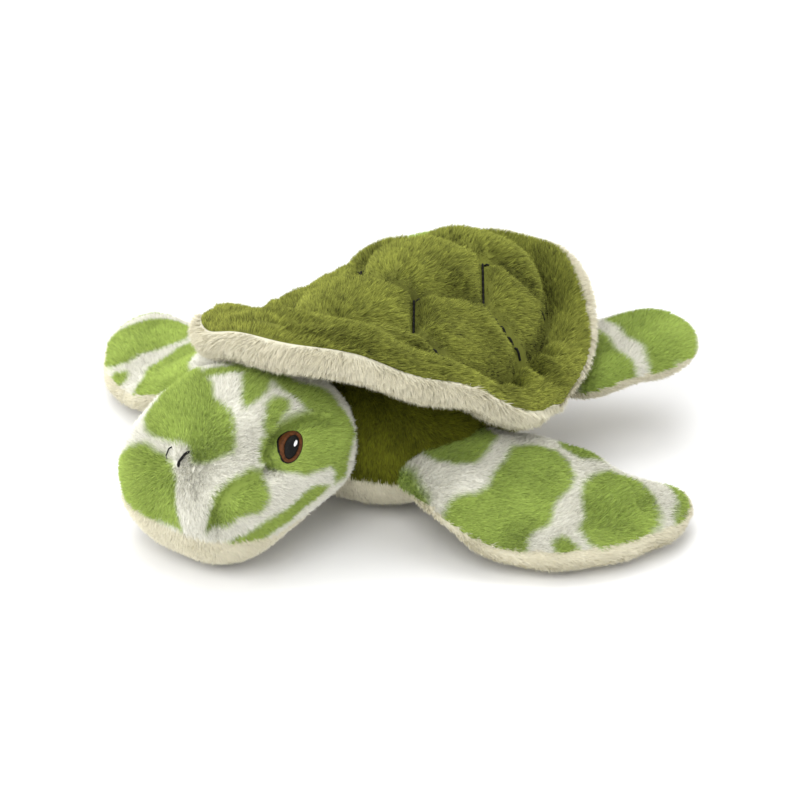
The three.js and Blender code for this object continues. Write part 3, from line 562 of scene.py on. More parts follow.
def quilted_top_at(turn, radius):
    """Height of the shell's upper face, which stays clear of the lining where a sewn line draws it down."""
    top = shell_top_at(turn, radius) - quilting(turn, radius)
    return np.maximum(top, shell_under_at(turn, radius) + LEAST_WADDING)


def on_plan(turn, radius, height):
    return np.column_stack([radius * np.sin(turn), SHELL_MIDDLE - radius * np.cos(turn), height])


def round_shell(points):
    """Turn and radius of points round the middle of the shell."""
    x, y = points[:, 0], points[:, 1] - SHELL_MIDDLE
    return np.arctan2(x, -y), np.hypot(x, y)


def shell_surface(places):
    """The shell from a disc: its top out to 1, the rolled edge out to 2, its seam at 1.5, then the lining."""
    share = np.hypot(places[:, 0], places[:, 1])
    turn = np.arctan2(places[:, 0], -places[:, 1])
    seam = brim_seam(turn)
    above, below = 1 + 2 * (share - 1) * (seam - 1), 2 - 2 * (2 - share) * (2 - seam)
    share = np.where((share > 1) & (share < 2), np.where(share < 1.5, above, below), share)
    edge = shell_radius(turn) - BRIM_EDGE_ROUND
    radius = edge * np.where(share <= 1, share, np.clip(3 - share, 0, 1))
    top, under = quilted_top_at(turn, radius), shell_under_at(turn, radius)
    tilt = math.pi / 2 - math.pi * np.clip(share - 1, 0, 1)
    roll = brim_height(turn) + edge_half(turn) * np.sin(tilt)
    rolled = (share > BRIM_ROLL_START) & (share < 2)
    radius = np.where(rolled, edge + BRIM_EDGE_ROUND * np.cos(tilt), radius)
    return on_plan(turn, radius, np.where(rolled, roll, np.where(share <= 1, top, under)))


# Cloth and thread


def socket(node, name, value):
    node.inputs[name].default_value = value


def new_material(name, roughness, specular):
    """A material with its shader."""
    material = bpy.data.materials.new(name)
    material.use_nodes = True
    shader = material.node_tree.nodes["Principled BSDF"]
    socket(shader, "Roughness", roughness)
    socket(shader, "Specular IOR Level", specular)
    return material, shader


def colour_ramp(nodes, *stops):
    ramp = nodes.new("ShaderNodeValToRGB")
    for element, (position, colour) in zip(ramp.color_ramp.elements, stops):
        element.position = position
        element.color = (*colour, 1)
    return ramp


def plush_material(name, tip, second=None, root_shade=0.62, tone=0.12):
    """Pile that is painted darker at its roots, as painted shade deep in the pile. A second colour shows
    where the cloth is printed.
    """
    material, shader = new_material(name, 0.8, 0.18)
    nodes, links = material.node_tree.nodes, material.node_tree.links
    socket(shader, "Sheen Weight", 0.12)
    socket(shader, "Sheen Tint", (*tip, 1))
    socket(shader, "Sheen Roughness", 0.5)

    def attribute(label):
        node = nodes.new("ShaderNodeAttribute")
        node.attribute_name = label
        return node

    def mixed(blend, factor, first, other):
        node = nodes.new("ShaderNodeMix")
        node.data_type = "RGBA"
        node.blend_type = blend
        for index, value in ((0, factor), (6, first), (7, other)):
            if isinstance(value, bpy.types.NodeSocket):
                links.new(value, node.inputs[index])
            else:
                node.inputs[index].default_value = value
        return node.outputs[2]

    colour = (*tip, 1)
    if second is not None:
        colour = mixed("MIX", attribute("print").outputs["Fac"], (*tip, 1), (*second, 1))
    # Painted shade: the colour darkens from the tips down to root_shade at the roots of the strands
    ramp = colour_ramp(nodes, (0, (root_shade,) * 3), (0.85, (1, 1, 1)))
    links.new(attribute("along").outputs["Fac"], ramp.inputs["Fac"])
    colour = mixed("MULTIPLY", 1.0, colour, ramp.outputs["Color"])
    spread = nodes.new("ShaderNodeMapRange")
    socket(spread, "From Min", -1.0)
    socket(spread, "From Max", 1.0)
    socket(spread, "To Min", 1 - tone)
    socket(spread, "To Max", 1 + tone)
    spread.clamp = False
    links.new(attribute("tone").outputs["Fac"], spread.inputs["Value"])
    colour = mixed("MULTIPLY", 1.0, colour, spread.outputs["Result"])
    links.new(colour, shader.inputs["Base Color"])
    return material


def thread_material(name, colour):
    """Embroidery thread, with its colour broken up along the stitches."""
    material, shader = new_material(name, 0.55, 0.15)
    nodes, links = material.node_tree.nodes, material.node_tree.links
    place = nodes.new("ShaderNodeTexCoord")
    noise = nodes.new("ShaderNodeTexNoise")
    socket(noise, "Scale", 900.0)
    links.new(place.outputs["Object"], noise.inputs["Vector"])
    dark, light = [0.6 * c for c in colour], [min(1, 1.25 * c) for c in colour]
    ramp = colour_ramp(nodes, (0.3, dark), (0.7, light))
    links.new(noise.outputs["Fac"], ramp.inputs["Fac"])
    links.new(ramp.outputs["Color"], shader.inputs["Base Color"])
    bump = nodes.new("ShaderNodeBump")
    socket(bump, "Strength", 0.3)
    socket(bump, "Distance", 0.0002)
    links.new(noise.outputs["Fac"], bump.inputs["Height"])
    links.new(bump.outputs["Normal"], shader.inputs["Normal"])
    return material


# Pieces


def float_attribute(mesh, name, values):
    mesh.attributes.new(name, "FLOAT", "POINT").data.foreach_set("value", values.astype(np.float32))


def vertex_places(mesh):
    places = np.empty(len(mesh.vertices) * 3, np.float32)
    mesh.vertices.foreach_get("co", places)
    return places.reshape(-1, 3).astype(float)


def linked(name, data):
    """A new object in the scene."""
    piece = bpy.data.objects.new(name, data)
    bpy.context.scene.collection.objects.link(piece)
    return piece


def turn_faces(bm, way):
    """Makes the faces of an open form look one way."""
    bmesh.ops.recalc_face_normals(bm, faces=bm.faces)
    if sum(face.normal.dot(way) for face in bm.faces) < 0:
        bmesh.ops.reverse_faces(bm, faces=bm.faces)


def new_object(name, bm, material):
    """An object from a bmesh in millimetres, smooth shaded, with its place in its mesh."""
    bmesh.ops.scale(bm, vec=(MM, MM, MM), verts=bm.verts)
    mesh = bpy.data.meshes.new(name)
    bm.to_mesh(mesh)
    bm.free()
    mesh.shade_smooth()
    mesh.materials.append(material)
    return linked(name, mesh)


def carry(piece, carrier):
    """A carrier is the name of a body, which the piece rides on. A carrier of two bodies and two points
    leaves the piece where it is, with its transform applied.
    """
    if isinstance(carrier, str):
        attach(piece, carrier)
    else:
        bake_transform(piece)


def skin(name, bm, material, carrier, nodes, spots=None):
    """A padded panel of cloth that stands for its solids in the frame."""
    piece = new_object(name, bm, material)
    places = vertex_places(piece.data) / MM
    # The skin takes the darkened colour of the strands' roots: painted shade under the pile
    float_attribute(piece.data, "along", np.full(len(places), 0.25))
    float_attribute(piece.data, "tone", 0.5 * ripple(places, 18, 5))
    float_attribute(piece.data, "print", spots(places) if spots else np.zeros(len(places)))
    cloth = piece.modifiers.new("Cloth", "SOLIDIFY")
    cloth.thickness = CLOTH * MM
    cloth.offset = -1
    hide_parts(*nodes)
    carry(piece, carrier)
    return piece


def scatter(mesh, per_mm2, rng):
    """Roots of strands spread evenly over a mesh, with the normals there, in millimetres."""
    mesh.calc_loop_triangles()
    corners = np.empty(len(mesh.loop_triangles) * 3, np.int32)
    mesh.loop_triangles.foreach_get("vertices", corners)
    corners = corners.reshape(-1, 3)
    normals = np.empty(len(mesh.vertices) * 3, np.float32)
    mesh.vertex_normals.foreach_get("vector", normals)
    normals = normals.reshape(-1, 3).astype(float)
    a, b, c = (vertex_places(mesh)[corners[:, i]] / MM for i in range(3))
    area = np.linalg.norm(np.cross(b - a, c - a), axis=1) / 2
    count = int(area.sum() * per_mm2)
    picked = np.searchsorted(np.cumsum(area), rng.uniform(0, area.sum(), count)).clip(0, len(area) - 1)
    u, v = rng.uniform(size=(2, count))
    u, v = np.where(u + v > 1, 1 - u, u)[:, None], np.where(u + v > 1, 1 - v, v)[:, None]
    roots = a[picked] * (1 - u - v) + b[picked] * u + c[picked] * v
    n = [normals[corners[picked, i]] for i in range(3)]
    facing = n[0] * (1 - u - v) + n[1] * u + n[2] * v
    return roots, unit_rows(facing)


def unit_rows(vectors):
    return vectors / np.maximum(np.linalg.norm(vectors, axis=1), 1e-9)[:, None]


def comb(normals, nap):
    """The way the pile lies on the cloth: the nap without its part along the normal."""
    flat = nap - (nap * normals).sum(1)[:, None] * normals
    return unit_rows(flat)


def pile(name, cloth, material, carrier, length, nap, seed,
         spots=None, trim=None, chart=None, share=1.0, lie=0.85, clump=0, shade=None):
    """Strands over a skin: thin pointed blades that lie along the nap, in small tufts."""
    settings = bpy.context.scene.plush_pile
    rng = np.random.default_rng(seed)
    closeness = settings.closeness * share * 1
    roots, normals = scatter(cloth.data, closeness, rng)
    keep = trim(roots, normals) if trim else np.ones(len(roots))
    kept = keep > 0.05
    roots, normals, keep = roots[kept], normals[kept], keep[kept]
    count = len(roots)
    lay = comb(normals, nap(roots, normals))
    tuft = np.column_stack([ripple(roots, 0.6 * length / MM, seed + k) for k in (1, 2, 3)])
    wide = np.column_stack([ripple(roots, 24, seed + k) for k in (4, 5, 6)])
    stray = rng.normal(scale=STRAND_STRAY, size=(count, 3))
    warped = roots + np.column_stack([ripple(roots, 9, seed + k) for k in (7, 8, 9)])
    middle = (np.floor(warped / CLUMP_SIZE) + 0.5) * CLUMP_SIZE
    pull = clump * (middle - warped) / CLUMP_SIZE
    lean = STRAND_STAND * normals + lie * lay + TUFT_LEAN * tuft + WIDE_LEAN * wide
    way = unit_rows(lean + pull + stray)
    reach = (length / MM * keep * rng.uniform(0.75, 1.1, count) * (1 + 0.08 * tuft[:, 0]))[:, None]
    side = unit_rows(np.cross(way, normals + rng.normal(scale=0.4, size=(count, 3))))
    side *= settings.strand_width / MM / 2
    root = roots - ROOT_SINK * normals
    places = np.stack([root - side, root + side, root + reach * way], axis=1)
    places[:, :, 2] = np.maximum(places[:, :, 2], FLOOR_CLEAR)
    mesh = bpy.data.meshes.new(name)
    mesh.vertices.add(3 * count)
    mesh.vertices.foreach_set("co", (places * MM).astype(np.float32).ravel())
    mesh.loops.add(3 * count)
    mesh.loops.foreach_set("vertex_index", np.arange(3 * count, dtype=np.int32))
    mesh.polygons.add(count)
    mesh.polygons.foreach_set("loop_start", 3 * np.arange(count, dtype=np.int32))
    mesh.update(calc_edges=True)
    tone = 0.85 * rng.normal(size=count) + 0.4 * wide[:, 1] + 0.5 * tuft[:, 1]
    tone += clump * ripple(middle, 5, seed + 10)
    printed = spots(roots) if spots else np.zeros(count)
    tone *= 0.7 + 1.2 * printed
    # Painted shade: a shade function darkens the tone where shade falls, in creases and seams
    if shade:
        tone += shade(roots)
    float_attribute(mesh, "along", np.tile([0, 0, 1], count))
    float_attribute(mesh, "tone", np.repeat(tone, 3))
    float_attribute(mesh, "print", np.repeat(printed, 3))
    flat = chart(roots) if chart else roots[:, :2]
    flat = 0.01 + 0.98 * (flat - flat.min(0)) / np.ptp(flat, axis=0)
    spread = 0.0006 * np.array([(-1, 0), (1, 0), (0, 2)])
    layer = mesh.uv_layers.new(name="OFBake")
    layer.uv.foreach_set("vector", (flat[:, None] + spread).astype(np.float32).ravel())
    mesh.materials.append(material)
    piece = linked(name, mesh)
    carry(piece, carrier)
    return piece


def cut(bm, place, upper, rise=0):
    """The part of a bmesh above or below a plane through a place, which may rise towards the nose."""
    part = bm.copy()
    bmesh.ops.bisect_plane(
        part, geom=[*part.verts, *part.edges, *part.faces], plane_co=place, plane_no=(0, rise, 1),
        clear_inner=upper, clear_outer=not upper)
    return part


def thread_line(name, lines, thickness, material, carrier):
    """Stitches: a bent piece of round thread along each line of points."""
    curve = bpy.data.curves.new(name, "CURVE")
    curve.dimensions = "3D"
    curve.bevel_depth = thickness / 2 * MM
    curve.bevel_resolution = 2
    curve.use_fill_caps = True
    for line in lines:
        spline = curve.splines.new("POLY")
        spline.points.add(len(line) - 1)
        for point, place in zip(spline.points, line):
            point.co = (*(MM * np.array(place)), 1)
    drawn = linked(name, curve)
    mesh = bpy.data.meshes.new_from_object(drawn.evaluated_get(bpy.context.evaluated_depsgraph_get()))
    bpy.data.objects.remove(drawn)
    mesh.name = name
    mesh.materials.clear()
    mesh.materials.append(material)
    mesh.shade_smooth()
    piece = linked(name, mesh)
    carry(piece, carrier)
    return piece


def towards(x, y, z):
    """A nap that points the same way all over."""
    return lambda roots, normals: np.tile(np.array([x, y, z], float), (len(roots), 1))


def in_order(bm):
    """Sort a turned form by its places, because the operators leave it in another order in each run."""
    def number(parts, key):
        for index, part in enumerate(sorted(parts, key=key)):
            part.index = index
        parts.sort()
        parts.index_update()

    number(bm.verts, lambda vert: tuple(vert.co))
    for parts in (bm.edges, bm.faces):
        number(parts, lambda part: sorted(vert.index for vert in part.verts))


def disc(shares, steps):
    """Rings of a flat disc at shares of its radius."""
    bm = bmesh.new()
    line = [bm.verts.new((share, 0, 0)) for share in shares]
    edges = [bm.edges.new(pair) for pair in zip(line[:-1], line[1:])]
    bmesh.ops.spin(bm, geom=[*line, *edges], cent=(0, 0, 0), axis=(0, 0, 1), dvec=(0, 0, 0),
                   angle=2 * math.pi, steps=steps, use_merge=True)
    bmesh.ops.remove_doubles(bm, verts=bm.verts, dist=1e-5)
    in_order(bm)
    return bm


class TURTLE_OT_body(bpy.types.Operator):
    """Make the body's back and belly"""

    bl_idname = "turtle.body"
    bl_label = "Body"

    def execute(self, context):
        colours, lengths = context.scene.plush_colours, context.scene.plush_pile
        ball = bmesh.new()
        bmesh.ops.create_uvsphere(ball, u_segments=96, v_segments=48, radius=1)
        in_order(ball)
        reshape(ball, body_surface)
        back_cloth = plush_material("dark_olive_plush", colours.dark_olive, root_shade=0.42, tone=0.36)
        belly_cloth = plush_material("belly_plush", colours.cream, **CREAM_LOOK)
        seam = (0, 0, BELLY_SEAM_HEIGHT)
        back = skin("body_back_skin", cut(ball, seam, True), back_cloth, "body",
                    ["body_back", "body_filling"])
        belly = skin("belly_skin", cut(ball, seam, False), belly_cloth, "body",
                     ["belly"])
        ball.free()

        def under_shell(roots, normals):
            return np.where((normals[:, 2] > 0.88) & (roots[:, 1] > -20), 0, 1)

        pile("body_back_pile", back, back_cloth, "body", lengths.body_length,
             towards(0, 0.5, -1), 100, trim=under_shell, clump=0.25)
        pile("belly_pile", belly, belly_cloth, "body", lengths.print_length,
             towards(0, 1, -0.3), 110, share=0.4)
        return {"FINISHED"}


class TURTLE_OT_shell(bpy.types.Operator):
    """Make the quilted shell and its lining"""

    bl_idname = "turtle.shell"
    bl_label = "Shell"

    def execute(self, context):
        colours, lengths = context.scene.plush_colours, context.scene.plush_pile
        top_cloth = plush_material("olive_plush", colours.olive, root_shade=0.3, tone=0.5)
        lining_cloth = plush_material("lining_plush", colours.cream, root_shade=0.75, tone=0.06)
        top_shares = [*np.linspace(0, 0.985, 90), *np.linspace(1, 1.5, 8)]
        lining_shares = [*np.linspace(1.5, 2, 14), *np.linspace(2.03, 3, 30)]
        top_bm, lining_bm = disc(top_shares, 360), disc(lining_shares, 360)
        for bm, up in ((top_bm, 1), (lining_bm, -1)):
            reshape(bm, shell_surface)
            turn_faces(bm, Vector((0, 0, up)))
        top = skin("shell_top_skin", top_bm, top_cloth, "body", ["shell_top", "shell_wadding"])
        lining = skin("shell_lining_skin", lining_bm, lining_cloth, "body", ["shell_lining"])

        def from_middle(roots):
            away = roots - (0, SHELL_MIDDLE, 0)
            away[:, 2] = 0
            return unit_rows(away)

        def outwards(roots, normals):
            return from_middle(roots) + (0, 0, -0.9)

        def rearwards(roots, normals):
            return (0, 1, 0) + 0.5 * from_middle(roots) + (0, 0, -0.3)

        def near_edge(roots, normals):
            turn, radius = round_shell(roots)
            inwards = shell_radius(turn) - radius
            return np.clip(1.25 - inwards / 60, 0, 1) * (inwards < 45)

        def along_seams(roots, normals):
            turn, radius = round_shell(roots)
            lines, foot = seam_distance(turn, radius)
            edge = shell_radius(turn) - 2 - radius
            seams = np.clip(0.12 + lines / 7, 0, 1) * np.clip(0.3 + foot / 9, 0, 1)
            return seams * np.clip(0.65 + edge / 12, 0, 1)

        # Painted shade: the pile is darkened along the sewn lines and the dome's foot, where the grooves are
        def shade_in_seams(roots):
            return -1.1 * hump(np.minimum(*seam_distance(*round_shell(roots))), 2.6)

        def half(side):
            return lambda roots, normals: along_seams(roots, normals) * (side * roots[:, 0] >= 0)

        for name, side in SIDES.items():
            pile(f"shell_top_pile_{name}", top, top_cloth, "body", lengths.shell_length,
                 rearwards, 200, trim=half(side), lie=1.1, clump=0.25, shade=shade_in_seams)
        pile("shell_lining_pile", lining, lining_cloth, "body", lengths.lining_length,
             outwards, 230, trim=near_edge, share=0.9)
        return {"FINISHED"}


class TURTLE_OT_scute_thread(bpy.types.Operator):
    """Sew the lines between the scutes"""

    bl_idname = "turtle.scute_thread"
    bl_label = "Scute thread"

    def execute(self, context):
        thread = thread_material("seam_thread", context.scene.plush_colours.black_thread)
        stitches = []
        for line in SCUTE_LINES:
            for start, end in zip(line[:-1], line[1:]):
                run = np.linalg.norm(end - start)
                for at in np.arange(1, run - 3, STITCH_STEP):
                    plan = np.array([start + (end - start) * (at + step) / run for step in (0, 1, 2, 3)])
                    turn = np.arctan2(plan[:, 0], -plan[:, 1])
                    radius = np.linalg.norm(plan, axis=1)
                    height = quilted_top_at(turn, radius) + STITCH_LIFT
                    stitches.append(on_plan(turn, radius, height))
        thread_line("scute_thread", stitches, 1, thread, "body")
        return {"FINISHED"}


class TURTLE_OT_head(bpy.types.Operator):
    """Make the head and the chin"""

    bl_idname = "turtle.head"
    bl_label = "Head"

    def execute(self, context):
        colours, lengths = context.scene.plush_colours, context.scene.plush_pile
        ball = bmesh.new()
        bmesh.ops.create_icosphere(ball, subdivisions=6, radius=1)
        reshape(ball, head_surface)
        grown = NECK_GAP + 0.2

        def in_neck(place):
            x, y, z = place
            return ((x / (BODY_HALF_WIDTH + grown)) ** 2 + (y / (BODY_HALF_HEIGHT + grown)) ** 2
                    + ((z - BODY_MID_HEIGHT) / (BODY_HALF_HEIGHT + grown)) ** 2) < 1

        bmesh.ops.delete(ball, geom=[vert for vert in ball.verts if in_neck(vert.co)], context="VERTS")
        print_cloth = plush_material("head_print", colours.print_white, colours.print_green, **PRINT_LOOK)
        chin_cloth = plush_material("chin_plush", colours.cream, **CREAM_LOOK)
        seam = (0, HEAD_MIDDLE[1], CHIN_SEAM_HEIGHT)
        head = skin("head_skin", cut(ball, seam, True, CHIN_SEAM_RISE), print_cloth, "head",
                    ["head_crown", "head_cheek_left", "head_cheek_right", "head_filling"], spots=head_print)
        chin = skin("chin_skin", cut(ball, seam, False, CHIN_SEAM_RISE), chin_cloth, "head",
                    ["chin"])
        ball.free()

        def around_eyes(roots, normals):
            mirrored = to_left(roots)
            along, across = eye_place(mirrored)
            oval = np.hypot(along / (EYE_LENGTH / 2), across / (EYE_WIDTH / 2))
            near = (roots[:, 2] > 40) & (np.abs(roots[:, 0]) > 25)
            bare = np.where(near, np.clip((oval - 0.97) / 0.5, 0, 1) ** 0.5, 1)
            brow = distance_to_lines(mirrored, [BROW_LINE])
            cheek = distance_to_lines(roots, [CHEEK_LINE])
            return bare * np.clip(0.3 + np.minimum(brow, cheek) / 6, 0, 1)

        # Painted shade: the print is darkened along the brow and cheek creases
        def shade_in_creases(roots):
            return -4 * hump(distance_to_lines(roots, [BROW_LINE, CHEEK_LINE]), 2.4)

        def from_nose(roots, normals):
            return roots - NOSE

        pile("head_pile", head, print_cloth, "head", lengths.print_length,
             from_nose, 300, spots=head_print, trim=around_eyes, chart=head_map, shade=shade_in_creases)
        pile("chin_pile", chin, chin_cloth, "head", lengths.print_length,
             from_nose, 320, chart=head_map)
        return {"FINISHED"}


def eye_place(points):
    """Places along the long and the short axis of the left eye."""
    axes = np.column_stack([EYE_LONG_AXIS, EYE_SHORT_AXIS])
    return np.linalg.pinv(axes) @ (points - EYE_MIDDLE).T


class TURTLE_OT_eyes(bpy.types.Operator):
    """Embroider the eyes"""

    bl_idname = "turtle.eyes"
    bl_label = "Eyes"

    def execute(self, context):
        colours = context.scene.plush_colours
        brown = thread_material("iris_thread", colours.brown_thread)
        black = thread_material("pupil_thread", colours.black_thread)
        white = thread_material("glint_thread", colours.white_thread)
        length, width = EYE_LENGTH / 2, EYE_WIDTH / 2
        rim, in_rim = (length + EYE_RIM, width + EYE_RIM), (length - EYE_RIM, width - EYE_RIM)
        iris, pupil = (length, width), (length - IRIS_BAND, width - IRIS_BAND)
        glint = (GLINT_LENGTH / 2, GLINT_WIDTH / 2)
        for name, side in SIDES.items():
            self.stitched(f"eye_rim_{name}", side, rim, in_rim, EYE_RAISE - 0.2, (0, 0), black,
                          "black_thread", [], 90, 0)
            self.stitched(f"eye_iris_{name}_thread", side, iris, pupil, EYE_RAISE, (0, 0), brown,
                          "brown_thread", [f"eye_iris_{name}"], 72, 0)
            self.stitched(f"eye_pupil_{name}_thread", side, pupil, (0, 0), EYE_RAISE + 0.25, (0, 0), black,
                          "black_thread", [f"eye_pupil_{name}"], 0, 0.6)
            self.stitched(f"eye_glint_{name}_thread", side, glint, (0, 0), EYE_RAISE + 0.55, GLINT_SHIFT,
                          white, "white_thread", [f"eye_glint_{name}"], 0, 0.5)
        return {"FINISHED"}

    def stitched(self, piece, side, outer, inner, raise_by, middle, material, slot, nodes, rays, rows):
        """A ring or a spot of satin stitch, in threads that run out from its middle or in rows across it."""
        head = bpy.data.objects["head_skin"]
        depsgraph = bpy.context.evaluated_depsgraph_get()
        mirror = np.array([side, 1, 1])
        facing = np.cross(EYE_SHORT_AXIS, EYE_LONG_AXIS)
        facing /= np.linalg.norm(facing)
        start = 1 if inner[0] else 0
        bm = disc(np.linspace(start, start + 1, 16), 288)

        def on_cheek(places):
            share = np.hypot(places[:, 0], places[:, 1]) - start
            turn = np.arctan2(places[:, 1], places[:, 0])
            along = np.cos(turn) * (inner[0] + (outer[0] - inner[0]) * share) + middle[0]
            across = np.sin(turn) * (inner[1] + (outer[1] - inner[1]) * share) + middle[1]
            rim = np.minimum(share, 1 - share) * 2 if start else 1 - share
            lift = raise_by * (0.25 + 0.75 * np.clip(rim / 0.45, 0, 1) ** 0.5)
            lift = lift + 0.1 * (np.cos(rays * turn) if rays else np.cos(2 * math.pi * along / rows))
            flat = EYE_MIDDLE + np.outer(along, EYE_LONG_AXIS) + np.outer(across, EYE_SHORT_AXIS)
            placed = []
            for place, up in zip((flat + 15 * facing) * mirror, lift):
                found = head.ray_cast(Vector(place) * MM, Vector(-facing * mirror), depsgraph=depsgraph)
                placed.append(np.array(found[1]) / MM + up * np.array(found[2]))
            return np.array(placed)

        reshape(bm, on_cheek)
        turn_faces(bm, Vector((side, 0, 0)))
        made = new_object(piece, bm, material)
        if nodes:
            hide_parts(*nodes)
        carry(made, "head")


class TURTLE_OT_nostrils(bpy.types.Operator):
    """Sew the stitches of the nostrils"""

    bl_idname = "turtle.nostrils"
    bl_label = "Nostrils"

    def execute(self, context):
        thread = thread_material("nostril_thread", context.scene.plush_colours.black_thread)
        head = bpy.data.objects["head_skin"]
        for number, (start, end, thickness) in enumerate(NOSTRIL_STITCHES):
            line = []
            for share in np.linspace(0, 1, 9):
                place = Vector(start).lerp(Vector(end), share) * MM
                found = head.closest_point_on_mesh(place)
                lift = -0.4 + 2 * min(1, 5 * min(share, 1 - share))
                line.append(np.array(found[1]) / MM + lift * np.array(found[2]))
            thread_line(f"nostril_{number}", [line], thickness, thread, "head")
        return {"FINISHED"}


class TURTLE_OT_flippers(bpy.types.Operator):
    """Make the four flippers"""

    bl_idname = "turtle.flippers"
    bl_label = "Flippers"

    def execute(self, context):
        colours = context.scene.plush_colours
        print_cloth = plush_material("flipper_print", colours.print_white, colours.print_green, **PRINT_LOOK)
        sole_cloth = plush_material("sole_plush", colours.cream, **CREAM_LOOK)
        for row, size in FLIPPER_SIZES.items():
            for name, side in SIDES.items():
                self.flipper(context, row, name, side, size, print_cloth, sole_cloth)
        return {"FINISHED"}

    def flipper(self, context, row, name, side, size, print_cloth, sole_cloth):
        lengths = context.scene.plush_pile
        body = f"{row}_{name}"
        joint = JOINTS[body]
        hinge = np.array(joint["pos_m"]) / MM
        back = -side * np.array(joint["axis"])
        out = side * np.array([back[1], -back[0], 0])
        turn = size["swing"][name]

        def local(points):
            flat = points - hinge
            return np.column_stack([flat @ out, flat @ back])

        def seam_at(points):
            share = local(points)[:, 0] / (size["reach"] * 0.6)
            return size["root"] + (size["tip"] - size["root"]) * smooth_step(share)

        def swung(points):
            x, y = local(points).T
            return np.column_stack([x * math.cos(turn) - y * math.sin(turn),
                                    x * math.sin(turn) + y * math.cos(turn)])

        def spots(points):
            return spot_share(swung(points), FLIPPER_SPOTS[row], 3.5, 7)

        def unswung(x, y):
            across = y * math.cos(turn) - x * math.sin(turn)
            return (x * math.cos(turn) + y * math.sin(turn)) * out + across * back

        bm = bmesh.new()
        bm.from_mesh(frame["nodes"][f"{body}_filling"].data)
        bmesh.ops.scale(bm, vec=(1 / MM,) * 3, verts=bm.verts)
        bmesh.ops.remove_doubles(bm, verts=bm.verts, dist=1e-3)
        bm.normal_update()
        for vert in bm.verts:
            vert.co += FLIPPER_PUFF * vert.normal
        padded = self.remeshed(bm)

        def shouldered(places):
            out_from, across = local(places).T
            near = (1 - smooth_step((out_from + size["thick"]) / 34)) * np.exp(-((across / 34) ** 4))
            above = np.maximum(0, places[:, 2] - seam_at(places))
            height = places[:, 2] + near * (0.6 * above + 1.5) + 0.5 * ripple(places, 16, 9)
            rooted = 1 - smooth_step((out_from + size["thick"]) / 26)
            inwards = places - size["tuck"] * rooted[:, None] * out
            from_corner = np.linalg.norm(swung(places) - size["corner"], axis=1)
            inwards += size["stretch"] * hump(from_corner, 15)[:, None] * unswung(0.25, 0.97)
            return np.column_stack([inwards[:, :2], above_floor(height, ease=0.8)])

        reshape(padded, shouldered)
        top_bm, sole_bm = padded.copy(), padded
        for part, upper in ((top_bm, True), (sole_bm, False)):
            middles = np.array([face.calc_center_median() for face in part.faces])
            wrong = (middles[:, 2] > seam_at(middles)) != upper
            unwanted = [face for face, bad in zip(part.faces, wrong) if bad]
            bmesh.ops.delete(part, geom=unwanted, context="FACES")
        start, end = hinge - size["thick"] * out, hinge + 12 * out
        carrier = ("body", body, tuple(start * MM), tuple(end * MM))
        top = skin(f"{body}_top_skin", top_bm, print_cloth, carrier,
                   [f"{body}_top", f"{body}_filling"], spots=spots)
        sole = skin(f"{body}_sole_skin", sole_bm, sole_cloth, carrier, [f"{body}_sole"])
        nap = towards(*unswung(*size["nap"]))
        seed = 400 + 20 * list(JOINTS).index(body)
        pile(f"{body}_top_pile", top, print_cloth, carrier, lengths.print_length, nap, seed,
             spots=spots)
        pile(f"{body}_sole_pile", sole, sole_cloth, carrier, lengths.print_length, nap,
             seed + 10, share=0.7)

    def remeshed(self, bm):
        """The same form with even faces, eased over its edges."""
        mesh = bpy.data.meshes.new("flipper_form")
        bmesh.ops.scale(bm, vec=(MM,) * 3, verts=bm.verts)
        bm.to_mesh(mesh)
        bm.free()
        form = linked("flipper_form", mesh)
        round_off = form.modifiers.new("Round", "SUBSURF")
        round_off.levels = round_off.render_levels = 2
        even = form.modifiers.new("Even", "REMESH")
        even.mode = "VOXEL"
        even.voxel_size = FLIPPER_VOXEL * MM
        ease = form.modifiers.new("Ease", "SMOOTH")
        ease.iterations = 6
        made = bmesh.new()
        made.from_object(form, bpy.context.evaluated_depsgraph_get())
        bpy.data.objects.remove(form)
        bmesh.ops.scale(made, vec=(1 / MM,) * 3, verts=made.verts)
        return made


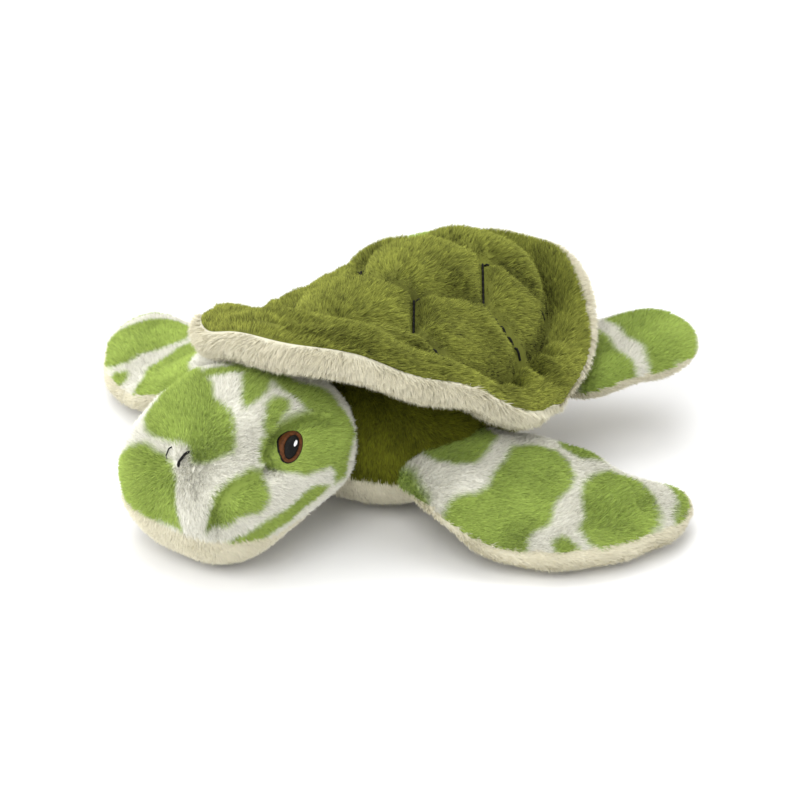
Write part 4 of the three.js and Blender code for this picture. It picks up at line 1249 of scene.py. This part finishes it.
class TURTLE_OT_stage(bpy.types.Operator):
    """Set up the floor, the light and the camera"""

    bl_idname = "turtle.stage"
    bl_label = "Stage"

    def execute(self, context):
        scene, stage = context.scene, context.scene.plush_stage
        floor_bm = bmesh.new()
        bmesh.ops.create_grid(floor_bm, x_segments=2, y_segments=2, size=6 / MM)
        material, shader = new_material("floor", 0.9, 0.1)
        socket(shader, "Base Color", (*stage.floor, 1))
        new_object("floor", floor_bm, material)
        world = bpy.data.worlds.new("studio")
        world.use_nodes = True
        socket(world.node_tree.nodes["Background"], "Color", (1, 1, 1, 1))
        socket(world.node_tree.nodes["Background"], "Strength", 0.7)
        scene.world = world
        for name, place, size, power in LIGHTS:
            light = bpy.data.lights.new(name, "AREA")
            light.shape = "DISK"
            light.size = size
            light.energy = power
            lamp = linked(name, light)
            lamp.location = place
            ahead = Vector(LIGHT_AIM) - Vector(place)
            lamp.rotation_euler = ahead.to_track_quat("-Z", "Y").to_euler()
        camera = bpy.data.cameras.new("camera")
        camera.lens = stage.lens
        camera.shift_x, camera.shift_y = CAMERA_SHIFT
        viewer = linked("camera", camera)
        back = Vector((math.sin(stage.azimuth) * math.cos(stage.elevation),
                       -math.cos(stage.azimuth) * math.cos(stage.elevation), math.sin(stage.elevation)))
        viewer.location = Vector(CAMERA_AIM) + stage.distance * back
        viewer.rotation_euler = back.to_track_quat("Z", "Y").to_euler()
        scene.camera = viewer
        scene.view_settings.view_transform = "Standard"
        return {"FINISHED"}


class TURTLE_PT_panel(bpy.types.Panel):
    """Lists the pieces of the turtle and their settings"""

    bl_idname = "TURTLE_PT_panel"
    bl_label = "Plush Sea Turtle"
    bl_space_type = "VIEW_3D"
    bl_region_type = "UI"
    bl_category = "Turtle"

    def draw(self, context):
        for operator in OPERATORS:
            self.layout.operator(operator.bl_idname)
        for settings in (context.scene.plush_pile, context.scene.plush_colours, context.scene.plush_stage):
            box = self.layout.box()
            for name in settings.__annotations__:
                box.prop(settings, name)


SETTINGS = {"plush_pile": PileSettings, "plush_colours": ColourSettings, "plush_stage": StageSettings}
OPERATORS = (
    TURTLE_OT_body, TURTLE_OT_shell, TURTLE_OT_scute_thread, TURTLE_OT_head, TURTLE_OT_eyes,
    TURTLE_OT_nostrils, TURTLE_OT_flippers, TURTLE_OT_stage,
)
CLASSES = (*SETTINGS.values(), *OPERATORS, TURTLE_PT_panel)


def register():
    for cls in CLASSES:
        bpy.utils.register_class(cls)
    for name, cls in SETTINGS.items():
        setattr(bpy.types.Scene, name, PointerProperty(type=cls))


def unregister():
    for name in SETTINGS:
        delattr(bpy.types.Scene, name)
    for cls in reversed(CLASSES):
        bpy.utils.unregister_class(cls)


def main():
    register()
    bpy.ops.turtle.body()
    bpy.ops.turtle.shell()
    bpy.ops.turtle.scute_thread()
    bpy.ops.turtle.head()
    bpy.ops.turtle.eyes()
    bpy.ops.turtle.nostrils()
    bpy.ops.turtle.flippers()
    bpy.ops.turtle.stage()


if __name__ == "__main__":
    main()
